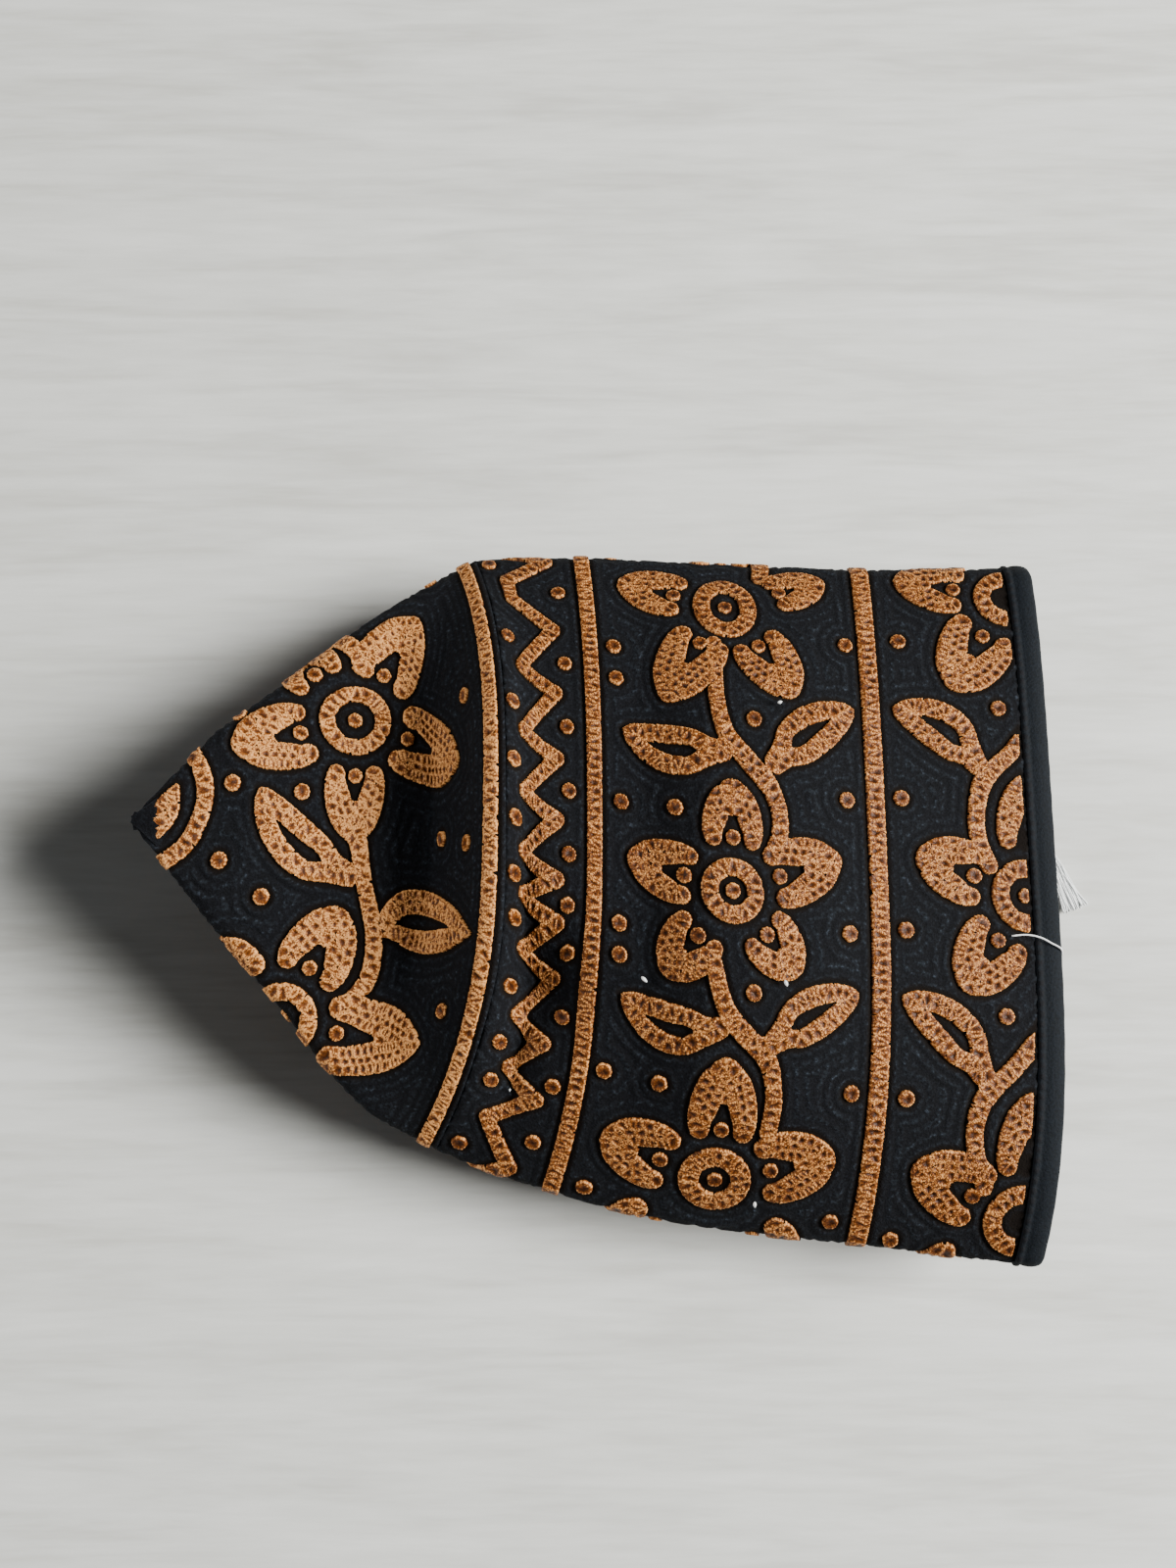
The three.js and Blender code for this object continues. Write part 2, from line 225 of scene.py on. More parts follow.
def section_loop(along, angles):
    """The cloth's middle surface along one section, at angles round the cap."""
    v = section_values(along)
    axis_y, half = (v["upY"] + v["downY"]) / 2, (v["upY"] - v["downY"]) / 2

    def side(which, sign):
        stretches = half_section(v, half, v[which + "X"], v[which + "Z"], v[which + "Round"])
        return [np.stack((s[:, 1], axis_y + sign * s[:, 0], s[:, 2]), 1) for s in stretches]

    down, up = side("down", -1), side("up", 1)
    legs = (
        np.vstack((up[0][::-1], down[0])),
        np.vstack(down[1:4]),
        np.vstack(down[4:7]),
        np.vstack((down[7], down[8], up[8][::-1], up[7][::-1])),
        np.vstack([s[::-1] for s in up[6:3:-1]]),
        np.vstack([s[::-1] for s in up[3:0:-1]]),
    )
    loop = np.empty((len(angles), 3))
    for leg, start, end in zip(legs, FOLDS[:-1], FOLDS[1:]):
        inside = (angles >= start) & (angles <= end)
        loop[inside] = along_curve(leg, (angles[inside] - start) / (end - start))
    front = angles <= FOLDS[1]
    loop[front, 2] += dent_lift(angles[front] / FOLDS[1] * FRONT_LENGTH, along)
    return loop


def directions(grid):
    """Outward directions of a grid of rows along the cloth and columns round it, closed round the cap."""
    round_cap = np.roll(grid, -1, axis=1) - np.roll(grid, 1, axis=1)
    along_cap = np.gradient(grid, axis=0)
    out = np.cross(round_cap, along_cap)
    return out / np.maximum(np.linalg.norm(out, axis=2, keepdims=True), 1e-9)


def outer_face(stations, angles):
    """The cloth's outer face. Below the point's radius it is a cone up to the crown's centre."""
    outside = np.array([t for t in stations if t >= POINT_RADIUS])
    middle = np.stack([section_loop(t, angles) for t in outside])
    face = middle + directions(middle) * CLOTH / 2
    if len(outside) < len(stations):
        collar = section_loop(POINT_RADIUS, angles)
        collar_out = directions(np.stack((collar, section_loop(POINT_RADIUS + 1, angles))))[0]
        collar = collar + collar_out * CLOTH / 2
        cone = [POINT + (collar - POINT) * t / POINT_RADIUS for t in stations if t < POINT_RADIUS]
        face = np.concatenate((np.stack(cone), face))
    return face


def blend(grid, j, i, after, v, u):
    """A grid's values at shares v and u of the way from row j to the next and from column i to another."""
    low = grid[j, i] * (1 - u) + grid[j, after] * u
    high = grid[j + 1, i] * (1 - u) + grid[j + 1, after] * u
    return low * (1 - v) + high * v


class Skin:
    """The outer face of one piece of cloth, read at any angle round the cap and distance along the cloth."""

    def __init__(self, stations):
        self.angles = SKIN_ANGLES
        self.stations = np.asarray(stations)
        self.face = outer_face(self.stations, self.angles)
        self.out = directions(self.face)

    def at(self, angle, along):
        """Places on the face and its outward directions there."""
        angle = np.mod(angle, 360.0)
        count = len(self.angles)
        i = np.interp(angle, np.append(self.angles, 360.0), np.arange(count + 1))
        j = np.interp(along, self.stations, np.arange(len(self.stations)))
        i0 = np.minimum(i.astype(int), count - 1)
        j0 = np.minimum(j.astype(int), len(self.stations) - 2)
        shares = (j - j0)[..., None], (i - i0)[..., None]
        place, out = [blend(grid, j0, i0, (i0 + 1) % count, *shares) for grid in (self.face, self.out)]
        out /= np.maximum(np.linalg.norm(out, axis=-1, keepdims=True), 1e-9)
        return place, out

    def lifted(self, angle, along, height):
        """Points a height over the cloth. Where the cap lies on the floor the relief is pressed into it."""
        place, out = self.at(angle, along)
        place = place + out * np.asarray(height)[..., None]
        floor_gap = FLOOR_GAP + PRESSED * np.clip(GOLD_RISE - np.asarray(height), 0.0, GOLD_RISE)
        flat = out[..., 2] < FACES_FLOOR
        place[..., 2] = np.where(flat, np.maximum(place[..., 2], floor_gap), place[..., 2])
        return place


# The embroidery is drawn on the flat cloth. On the side wall x is the way round from the upper front ridge
# and y the distance from the crown's centre. On the crown x and y are measured from its centre, x towards
# the upper front ridge. A stroke is a list of (x, y, half width) rows that the stitches follow.

# Half widths of rope-stitched lines, dots, dots in flowers and the thinnest tips, and a ring's rows for each
# millimetre of its radius
LINE_HALF = 1.75
DOT_HALF = 1.7
SMALL_DOT = 1.6
THINNEST_HALF = 0.12
RING_ROWS = 7

# How far the tight stitching pulls the gold's edges in from the drawn outline
PULL_IN = 0.1


def spans(rows):
    """The spans of a curve through rows, each with the rows before and after it."""
    padded = np.vstack((2 * rows[0] - rows[1], rows, 2 * rows[-1] - rows[-2]))
    return zip(padded, padded[1:], padded[2:], padded[3:])


def in_span(a, b, c, d, u):
    """Places on the curve from b to c, at shares of the way, with its neighbours a and d."""
    return 0.5 * (2 * b + (c - a) * u + (2 * a - 5 * b + 4 * c - d) * u * u
                  + (3 * b - a - 3 * c + d) * u ** 3)


def smooth(rows):
    """A smooth stroke through a few rows, with a row about every millimetre."""
    rows = np.asarray(rows, float)
    found = [rows[:1]]
    for a, b, c, d in spans(rows):
        count = max(1, int(round(np.linalg.norm((c - b)[:2]))))
        found.append(in_span(a, b, c, d, (np.arange(1, count + 1) / count)[:, None]))
    path = np.vstack(found)
    path[:, 2] = np.maximum(path[:, 2], THINNEST_HALF)
    return path


# Half of a petal: share of the way from its leg's end to its tip, then the place across and the half width as
# shares of the distance from the flower's centre to the tip. Its heart closes it in the middle.
LEG_START = 11.0
PETAL_SIDE = ((0.0, 0.175, 0.082), (0.11, 0.182, 0.093), (0.25, 0.168, 0.107), (0.39, 0.148, 0.116),
              (0.54, 0.122, 0.116), (0.64, 0.100, 0.110), (0.75, 0.068, 0.092), (0.88, 0.032, 0.056),
              (0.97, 0.0, 0.016))
PETAL_HEART = ((0.46, 0.0, 0.05), (0.82, 0.0, 0.06))
PETAL_DOT = 11.3

# Half of a leaf round its slit: share of its length, place across and half width as shares of it
LEAF_SIDE = ((0.05, 0.0, 0.10), (0.20, 0.055, 0.085), (0.33, 0.130, 0.080), (0.50, 0.140, 0.090),
             (0.68, 0.115, 0.090), (0.82, 0.070, 0.085), (0.92, 0.030, 0.065), (0.99, 0.0, 0.020))


def placed(shape, start, end, side=1.0, bow=0.0, wide=1.0):
    """Rows of a shape laid from one place to another, bent sideways by bow times its length."""
    start, end = np.asarray(start, float), np.asarray(end, float)
    along = end - start
    length = np.linalg.norm(along)
    across = np.array((-along[1], along[0])) / length
    rows = np.asarray(shape, float)
    offset = rows[:, 1] * side * wide + 4 * bow * rows[:, 0] * (1 - rows[:, 0])
    places = start + rows[:, :1] * along + (offset * length)[:, None] * across
    return np.column_stack((places, rows[:, 2] * length * (1 + wide) / 2))


def petal(centre, dx, dy, wide=1.0, out=0.0):
    """A horseshoe petal open towards the flower's centre, with a solid pointed tip and a dot in its opening.
    It can stand further out from the centre."""
    centre, step = np.asarray(centre, float), np.array((dx, dy))
    reach = math.hypot(dx, dy)
    start = (LEG_START + out) / reach
    strokes = dot(*(centre + step * (PETAL_DOT + out) / reach), SMALL_DOT)
    for shape, side in ((PETAL_SIDE, 1.0), (PETAL_SIDE, -1.0), (PETAL_HEART, 1.0)):
        rows = [(start + (1 - start) * along, across, half) for along, across, half in shape]
        strokes.append(smooth(placed(rows, centre, centre + step, side, 0.0, wide)))
    return strokes


def leaf(base, tip, bow=0.0, wide=1.0):
    """A pointed leaf with a slit down its middle."""
    return [smooth(placed(LEAF_SIDE, base, tip, side, bow, wide)) for side in (1.0, -1.0)]


def ring(centre, radii, half=LINE_HALF):
    turns = np.linspace(0.0, 2 * math.pi, int(max(radii) * RING_ROWS))
    return [np.column_stack((centre[0] + radii[0] * np.cos(turns), centre[1] + radii[1] * np.sin(turns),
                             np.full(len(turns), half)))]


def dot(x, y, half=DOT_HALF):
    return [np.array([(x, y, half)])]


def turned(angle, reach):
    """A step of a length at an angle in degrees, counted from the -x direction towards +y."""
    a = math.radians(angle)
    return np.array((-reach * math.cos(a), reach * math.sin(a)))


def flower(centre, radii, half, petals):
    """A ring with a dot in it and petals, each given by its tip's step from the centre and its width."""
    strokes = ring(centre, radii, half) + dot(*centre, SMALL_DOT)
    for shape in petals:
        strokes += petal(centre, *shape)
    return strokes


# A plain flower's five petals, a fifth of a turn apart
FIFTH = 72
PLAIN_REACH = 23.0
PLAIN_PETALS = [(*turned(FIFTH * k, PLAIN_REACH), 1.0) for k in range(5)]

# The three flowers that show in the middle band: centre, ring's radii and half width, and petals, each by its
# tip's step from the centre, its width, and how far it stands out
MIDDLE_FLOWERS = (
    ((18.8, 145.5), (6.5, 5.1), 1.9,
     ((-6.8, -22.9, 1.0), (-10.1, 22.5, 0.8, 2.2), (24.8, -14.4, 0.85, 0.8), (21.7, 14.0, 0.95, 0.8),
      (-33.0, 1.0, 0.8, 7.0))),
    ((80.6, 144.2), (4.4, 4.7), 1.8,
     ((-21.4, 0.4, 1.08, -1.3), (-4.4, -21.9, 0.97, -1.5), (-8.5, 23.6, 0.93, -0.7), (17.4, -13.4, 1.0),
      (14.6, 14.0, 1.1, -1.0))),
    ((137.4, 145.2), (5.2, 5.2), 2.1,
     ((-26.2, -0.9, 0.95), (-4.7, -23.2, 1.2), (-7.9, 23.3, 1.2), (26.0, -17.5, 1.0, 5.5),
      (25.0, 18.5, 1.0, 5.5))),
)

# Stems of the middle band that show, and leaves, each by its base, its tip's place, its bend and its width
MIDDLE_STEMS = (
    ((29.0, 142.4, 1.7), (37.8, 142.1, 1.75), (42.8, 142.2, 1.75), (46.7, 142.8, 1.8), (49.9, 143.7, 1.9),
     (52.4, 145.4, 2.1), (54.6, 147.6, 2.1), (57.2, 150.0, 2.1), (59.4, 152.2, 2.1), (62.2, 153.7, 1.9),
     (65.4, 154.6, 1.8), (69.0, 154.4, 1.8), (72.5, 153.0, 1.8)),
    ((93.4, 140.4, 1.6), (95.8, 141.0, 1.75), (98.7, 141.8, 1.8), (102.4, 143.4, 1.9), (105.4, 145.9, 2.1),
     (108.0, 149.0, 2.1), (110.0, 151.5, 2.1), (112.8, 153.2, 2.0), (116.0, 154.1, 1.8), (120.0, 154.6, 1.8),
     (125.7, 154.2, 1.8)),
)
MIDDLE_LEAVES = (
    ((53.5, 144.1), (50.1, 122.0), 0.10, 1.0),
    ((56.0, 153.1), (41.3, 171.9), 0.05, 0.95),
    ((105.5, 143.5), (103.2, 122.2), 0.16, 1.0),
    ((108.8, 152.3), (97.8, 170.9), 0.06, 1.0),
)
MIDDLE_DOTS = (
    (30.7, 120.7), (38.6, 120.9), (65.7, 121.3), (65.7, 133.0), (46.3, 149.9), (26.3, 171.3), (60.5, 169.6),
    (89.7, 121.0), (95.7, 121.3), (98.9, 148.8), (86.6, 169.2), (119.3, 120.4), (119.1, 131.7),
    (116.8, 170.4),
)

# The rim band mirrors the middle band about the third line, and the hem cuts its flowers in half
RIM_FLOWERS = (
    ((12.2, 207.1), (5.0, 5.0), 1.9, ((-4.8, -24.0, 1.0), (22.5, -13.9, 1.1))),
    ((76.7, 206.6), (5.5, 5.5), 1.9, ((-7.0, -22.5, 1.05), (19.7, -13.9, 1.1), (-25.2, 1.6, 0.9))),
    ((140.4, 207.3), (5.5, 5.5), 1.9, ((-9.9, -22.9, 1.1), (23.0, -18.5, 1.0, 4.0), (-25.5, -0.6, 0.9))),
)
RIM_STEMS = (
    ((36.0, 215.0, 2.0), (41.4, 210.7, 2.0), (44.4, 207.9, 1.9), (47.8, 204.8, 1.8), (50.6, 201.6, 1.9),
     (53.2, 199.2, 2.1), (56.0, 197.9, 2.0), (59.0, 197.2, 1.8), (62.7, 196.8, 1.75), (67.0, 197.4, 1.75),
     (71.0, 199.0, 1.9)),
    ((100.0, 212.5, 2.0), (104.0, 208.8, 2.0), (108.0, 205.3, 1.9), (111.7, 201.9, 1.9), (114.4, 198.9, 2.1),
     (117.7, 196.7, 2.0), (121.8, 195.8, 1.8), (126.0, 196.1, 1.75), (129.8, 197.4, 1.75),
     (134.0, 199.0, 1.75)),
)
RIM_LEAVES = (
    ((51.5, 198.4), (39.8, 180.8), -0.13, 1.15),
    ((113.5, 197.4), (97.8, 180.5), -0.10, 0.95),
)
RIM_DOTS = (
    (24.2, 182.9), (38.0, 203.2), (58.8, 181.6), (85.1, 181.4), (100.7, 201.4), (117.4, 181.8),
)

# The rope-stitched lines: distance from the crown's centre and half width
ROPE_LINES = ((115.5, LINE_HALF), (176.0, 2.0))

# The zigzag's corners that show, left and right in turn, starting with a left one
ZIGZAG_CORNERS = (
    (18.8, 97.8), (27.4, 107.4), (39.0, 97.5), (43.8, 107.1), (54.8, 97.2), (58.8, 107.1), (67.8, 97.3),
    (71.6, 107.1), (79.8, 97.2), (83.5, 107.3), (88.0, 97.4), (91.6, 107.8), (98.6, 98.0), (102.6, 108.0),
    (112.6, 98.8), (117.0, 107.4), (124.2, 99.6), (129.4, 108.0), (136.6, 98.6), (147.0, 106.4),
)
ZIGZAG_SIDES = (97.6, 107.4)
ZIGZAG_STEP = 6.6
ZIGZAG_HALF = 1.75
ZIGZAG_NOTCHES = (110.0, 94.6)
ZIGZAG_DOTS = (
    (31.8, 94.6), (49.6, 94.0), (62.6, 93.8), (74.2, 94.2), (85.0, 94.0), (93.3, 94.7), (107.0, 95.6),
    (119.2, 96.0), (128.0, 96.6), (145.4, 95.5), (16.0, 109.4), (36.2, 109.6), (51.4, 109.5), (65.2, 109.8),
    (78.1, 109.8), (88.0, 109.8), (97.0, 110.6), (110.6, 110.8), (125.4, 110.8), (139.1, 109.5),
)

# The regular repeat that goes on round the cap, drawn between two flowers' centres REPEAT apart
REPEAT = 64.0
REPEAT_STEM = ((17, -4.6, 1.6), (24, -3.6, 1.8), (31, -1.0, 1.9), (38, 4.4, 2.1), (42, 8.0, 2.2),
               (48, 9.6, 2.0), (54, 9.0, 1.9))
REPEAT_LEAVES = (
    ((39.0, -0.6), (31.6, -23.0), 0.10, 1.0),
    ((40.4, 6.4), (21.6, 27.4), 0.05, 0.95),
)
REPEAT_DOTS = ((8.5, -23.6), (15.0, -23.5), (46.0, -23.0), (18.5, 4.8), (7.0, 24.8), (42.0, 25.0))
REPEAT_RING = ((5.0, 5.0), 1.9)
MIDDLE_LINE = 145.0
RIM_LINE = 207.4
FLOWERS_LEFT = 6

# How far strokes run over the ends of the way round, so that the stitching closes there
OVERRUN = 45.0


def vine_between(start, end, line, mirror):
    """The stem, leaves and dots that lead from one flower of the regular repeat to the next."""
    def place(x, y):
        return (start + x * (end - start) / REPEAT, line + mirror * y)

    strokes = [smooth([(*place(x, y), half) for x, y, half in REPEAT_STEM])]
    for base, tip, bow, wide in REPEAT_LEAVES:
        strokes += leaf(place(*base), place(*tip), bow * mirror, wide)
    for x, y in REPEAT_DOTS:
        strokes += dot(*place(x, y))
    return strokes


def line_stroke(along, half):
    return np.array(((-OVERRUN, along, half), (GIRTH + OVERRUN, along, half)))


def wrapped(strokes):
    """Adds the copies of strokes that run over the ends of the way round."""
    found = list(strokes)
    for stroke in strokes:
        low, high = stroke[:, 0].min(), stroke[:, 0].max()
        if high - low > GIRTH:
            continue
        if low < OVERRUN:
            found.append(stroke + np.array((GIRTH, 0.0, 0.0)))
        if high > GIRTH - OVERRUN:
            found.append(stroke - np.array((GIRTH, 0.0, 0.0)))
    return found


def zigzag():
    """The zigzag round the cap with a dot in every notch. Past the corners that show, its steps are even."""
    corners = list(ZIGZAG_CORNERS)
    first = corners[-1][0] + ZIGZAG_STEP
    last = GIRTH + corners[0][0]
    count = int(round((last - first) / ZIGZAG_STEP))
    count += (count + 1) % 2
    step = (last - first) / count
    strokes = []
    for k in range(count):
        x, side = first + k * step, k % 2
        corners.append((x, ZIGZAG_SIDES[side]))
        if k < count - 1:
            strokes += dot(x, ZIGZAG_NOTCHES[side])
    corners.append((last, corners[0][1]))
    for start, end in zip(corners, corners[1:]):
        middle = ((start[0] + end[0]) / 2, (start[1] + end[1]) / 2)
        strokes.append(smooth([(*place, ZIGZAG_HALF) for place in (start, middle, end)]))
    for place in ZIGZAG_DOTS:
        strokes += dot(*place)
    return strokes


def wall_strokes():
    """All gold on the side wall, as groups of strokes by the name of their piece."""
    bands = {
        "middle_vine": (MIDDLE_FLOWERS, MIDDLE_STEMS, MIDDLE_LEAVES, MIDDLE_DOTS, MIDDLE_LINE, 1),
        "rim_vine": (RIM_FLOWERS, RIM_STEMS, RIM_LEAVES, RIM_DOTS, RIM_LINE, -1),
    }
    groups = {"lines": [line_stroke(*row) for row in ROPE_LINES], "zigzag": zigzag()}
    for name, (flowers, stems, leaves, dots, line, mirror) in bands.items():
        petals = [(x, mirror * y, wide) for x, y, wide in PLAIN_PETALS]
        strokes = [smooth(stem) for stem in stems]
        for shape in flowers:
            strokes += flower(*shape)
        for shape in leaves:
            strokes += leaf(*shape)
        for place in dots:
            strokes += dot(*place)
        places = np.linspace(flowers[-1][0][0], flowers[0][0][0] + GIRTH, FLOWERS_LEFT + 2)
        for here, after in zip(places, places[1:]):
            strokes += vine_between(here, after, line, mirror)
        for here in places[1:-1]:
            strokes += flower((here, line), *REPEAT_RING, petals)
        groups[name] = strokes
    return groups


# The crown's flowers stand round its centre
CROWN_FLOWERS = (
    ((46.0, 16.9), (5.6, 5.6), 1.7,
     ((-22.3, -11.8, 1.0), (15.2, 27.6, 0.85), (26.4, -7.4, 1.0), (-17.0, 18.2, 0.9), (2.0, -23.0, 1.0, 1.0))),
    ((-4.0, 49.5), (5.6, 5.6), 1.7,
     ((23.0, -8.0, 1.1), (18.9, 26.8, 0.85), (-18.0, -14.0, 1.0), (-17.0, 15.0, 1.0), (0.0, -21.0, 1.0))),
)
CROWN_STEM = ((30.0, 35.2, 2.0), (26.8, 39.2, 1.85), (24.6, 42.3, 1.8), (22.5, 45.8, 1.8), (20.3, 49.2, 1.8),
              (16.8, 52.8, 1.8), (13.4, 55.0, 1.85), (9.8, 55.8, 1.8), (6.9, 55.6, 1.7))
CROWN_LEAF = ((24.7, 39.2), (22.3, 14.3), -0.12, 0.9)

# The leaf by the crown's edge, as the strokes above and below its slit
EDGE_LEAF = (
    ((22.4, 49.8, 1.9), (24.5, 49.2, 2.0), (26.9, 49.0, 2.2), (29.9, 50.2, 2.4), (33.6, 54.8, 2.5),
     (37.2, 61.8, 2.2), (39.0, 67.7, 1.7), (40.6, 74.0, 0.4)),
    ((22.8, 50.7, 1.6), (23.9, 52.7, 1.7), (25.5, 56.0, 2.1), (28.6, 60.6, 2.4), (32.6, 65.0, 2.4),
     (36.1, 68.6, 2.0), (40.6, 74.0, 0.4)),
)
CROWN_DOTS = (
    (19.0, 9.9), (28.1, 20.4), (7.4, 18.2), (8.8, 29.0), (46.0, 49.5), (52.3, 59.8), (71.6, 35.8),
    (23.4, 76.5),
)
CROWN_RING = ((4.0, -3.0), (14.3, 14.3))
CROWN_LINE = 88.8

# A petal of the rosette in the crown's middle, which has four a quarter of a turn apart
QUARTER = 90
KITE = ((1.8, 6.5, 0.4), (4.3, 5.0, 1.9), (6.1, 4.0, 2.6), (8.5, 3.1, 1.8), (11.4, 2.2, 0.4))


def rotated(stroke, angle):
    """A stroke turned about the crown's centre by an angle in degrees."""
    a = math.radians(angle)
    x, y, half = stroke.T
    return np.column_stack((x * math.cos(a) - y * math.sin(a), x * math.sin(a) + y * math.cos(a), half))


def crown_strokes():
    """All gold on the crown: the rosette, the ring round it, five flowers with stems and leaves, edge line."""
    vine = [smooth(rows) for rows in (CROWN_STEM, *EDGE_LEAF)] + leaf(*CROWN_LEAF)
    dots = []
    for place in CROWN_DOTS:
        dots += dot(*place)
    shown = [stroke for shape in CROWN_FLOWERS for stroke in flower(*shape)]
    strokes = vine + dots + shown + [rotated(stroke, FIFTH) for stroke in vine]
    for k in range(2, 5):
        strokes += [rotated(stroke, FIFTH * k) for stroke in flower(*CROWN_FLOWERS[0]) + vine + dots]
    strokes += ring(*CROWN_RING)
    for quarter in range(4):
        strokes.append(rotated(smooth(KITE), QUARTER * quarter))
    return {"flowers": strokes, "edge_line": ring((0.0, 0.0), (CROWN_LINE, CROWN_LINE))}


class Field:
    """Distances to the gold's edge on the flat cloth, negative inside the gold, on a fine raster. Left-over
    gold is filled from EVERY so many of its places, and INSIDE keeps a reading in its last cell."""
    STEP = 0.2
    FAR = 8.0
    EVERY = 3
    INSIDE = 1.001

    def __init__(self, low, high, groups):
        self.low = np.asarray(low, float)
        shape = ((np.asarray(high) - self.low) / self.STEP).astype(int) + 1
        self.values = np.full((shape[1], shape[0]), self.FAR, np.float32)
        for strokes in groups.values():
            for stroke in strokes:
                self.stamp(stroke)

    def stamp(self, stroke):
        """Lowers the distances round one stroke."""
        rows, columns = self.values.shape
        ends = stroke if len(stroke) > 1 else np.vstack((stroke, stroke + 1e-4))
        for a, b in zip(ends, ends[1:]):
            reach = max(a[2], b[2]) + self.FAR
            low = np.floor((np.minimum(a[:2], b[:2]) - reach - self.low) / self.STEP).astype(int)
            high = np.ceil((np.maximum(a[:2], b[:2]) + reach - self.low) / self.STEP).astype(int) + 1
            x0, y0 = max(low[0], 0), max(low[1], 0)
            x1, y1 = min(high[0], columns), min(high[1], rows)
            if x0 >= x1 or y0 >= y1:
                continue
            x = self.low[0] + np.arange(x0, x1) * self.STEP - a[0]
            y = (self.low[1] + np.arange(y0, y1) * self.STEP - a[1])[:, None]
            dx, dy = b[0] - a[0], b[1] - a[1]
            u = np.clip((x * dx + y * dy) / max(dx * dx + dy * dy, 1e-9), 0.0, 1.0)
            away = np.hypot(x - u * dx, y - u * dy) - (a[2] + (b[2] - a[2]) * u) + PULL_IN
            window = self.values[y0:y1, x0:x1]
            np.minimum(window, away, out=window)

    def cut(self, along):
        """Ends the gold in a straight edge at a distance along the cloth."""
        rows = self.low[1] + np.arange(len(self.values)) * self.STEP
        np.maximum(self.values, (rows - along)[:, None].astype(np.float32), out=self.values)

    def deep_places(self, depth):
        """Places of the raster that lie this deep in the gold, the deepest first."""
        window = self.values[::self.EVERY, ::self.EVERY]
        rows, columns = np.nonzero(window < -depth)
        order = np.argsort(window[rows, columns], kind="stable")
        return self.low + np.column_stack((columns, rows))[order] * self.EVERY * self.STEP

    def read(self, x, y):
        """Distances at any places on the flat cloth."""
        rows, columns = self.values.shape
        i = np.clip((x - self.low[0]) / self.STEP, 0, columns - self.INSIDE)
        j = np.clip((y - self.low[1]) / self.STEP, 0, rows - self.INSIDE)
        i0, j0 = i.astype(int), j.astype(int)
        return blend(self.values, j0, i0, i0 + 1, j - j0, i - i0)


# Rings of a stitch round its hole: share of the thread's length, height between threads' ends and at the
# gold's edge, and the thread's painted light there: painted shade towards the hole and at the gold's edge, a
# painted highlight on the crest
FINE_RINGS = ((0.28, 0.17, 0.19, 0.15), (0.62, 0.38, 0.39, 0.46), (0.93, 0.53, 0.38, 1.00),
              (1.0, 0.53, -0.25, 0.62))
PLAIN_RINGS = ((0.6, 0.42, 0.42, 0.5), (1.0, 0.58, -0.25, 0.8))
HOLE_DEPTH = 0.06
# The thread in a needle hole is painted dark, a painted shade in the hole
HOLE_PAINTED_LIGHT = 0.04
HOLE_VARIES = 0.12
HOLE_OVAL = 0.4
LONGEST_THREAD = 2.9
SHORTEST_THREAD = 0.12
EDGE_TEETH = 0.06
EDGE_BLEND = 0.25
THREAD_VARIES = 0.2

# Painted sheen: threads that run round the cap are painted lighter than those along it, for the side light they
# catch
PAINTED_SHEEN = 0.14

# Spacing of the needle holes, the mesh's rays round each hole, and threads round each hole, which are a bump
FINE_PITCH = 1.7
FINE_RAYS = 12
PLAIN_PITCH = 3.0
PLAIN_RAYS = 6
THREADS = 12

# Where the holes go: the half width that takes two rows, how far one row wanders and two stand out as
# shares of the half width, the reach in which a stroke's direction is read, and the least depths in the gold
# of a hole in a row and of one that fills up
TWO_ROWS_FROM = 2.25
ROW_WANDER = 0.22
ROW_STANDS_OUT = 0.5
AIM_REACH = 0.3
HOLE_FROM_EDGE = 0.35
FILL_DEPTH = 0.8

# The least distance between holes as a share of their pitch, how far a hole's neighbours are looked for, and
# the steps in which the gold's edge is looked for
CLOSEST = 0.8
NEIGHBOURS = 6.0
EDGE_STEP = 0.1

# The crown's thread is painted paler than the side wall's, a painted light for the crown catching more light,
# in steps of the stitches' own variation
CROWN_PAINTED_LIGHT = 1.5

# How far past the front ridges the close stitching goes, in degrees round the cap
RIDGE_SPARE = 4.0


def along_stroke(stroke, pitch):
    """Places for needle holes along a stroke: one wandering row where it is narrow, two where it is wide."""
    steps = np.diff(stroke[:, :2], axis=0)
    reach = np.concatenate(((0.0,), np.cumsum(np.hypot(steps[:, 0], steps[:, 1]))))

    def row_at(place):
        return np.array([np.interp(place, reach, column) for column in stroke.T])

    count = max(2, int(round(reach[-1] / pitch)))
    for k in range(count):
        place = (k + 0.5) / count * reach[-1]
        x, y, half = row_at(place)
        dx, dy, _ = row_at(min(place + AIM_REACH, reach[-1])) - row_at(max(place - AIM_REACH, 0.0))
        length = max(math.hypot(dx, dy), 1e-6)
        if half < TWO_ROWS_FROM:
            offsets = (ROW_WANDER * half * (-1) ** k,)
        else:
            offsets = (-ROW_STANDS_OUT * half, ROW_STANDS_OUT * half)
        for offset in offsets:
            yield x - dy / length * offset, y + dx / length * offset


def cells_round(grid, x, y, size):
    """The cell of a place in a grid of lists, and all that the nine cells round it hold."""
    i, j = int(x // size), int(y // size)
    return (i, j), [item for a in (-1, 0, 1) for b in (-1, 0, 1) for item in grid.get((i + a, j + b), ())]


def stitch_holes(strokes, field, pitch):
    """Needle holes a pitch apart: first in rows along the strokes, then wherever gold is left over."""
    near = CLOSEST * pitch
    in_rows = [place for stroke in strokes for place in
               (along_stroke(stroke, pitch) if len(stroke) > 1 else (stroke[0, :2],))]
    places = np.vstack((np.array(in_rows), field.deep_places(FILL_DEPTH)))
    deep = -field.read(places[:, 0], places[:, 1]) > HOLE_FROM_EDGE
    taken = {}
    for x, y in places[deep]:
        cell, around = cells_round(taken, x, y, near)
        if all(math.hypot(ox - x, oy - y) >= near for ox, oy in around):
            taken.setdefault(cell, []).append((x, y))
    return np.array([place for places in taken.values() for place in places])


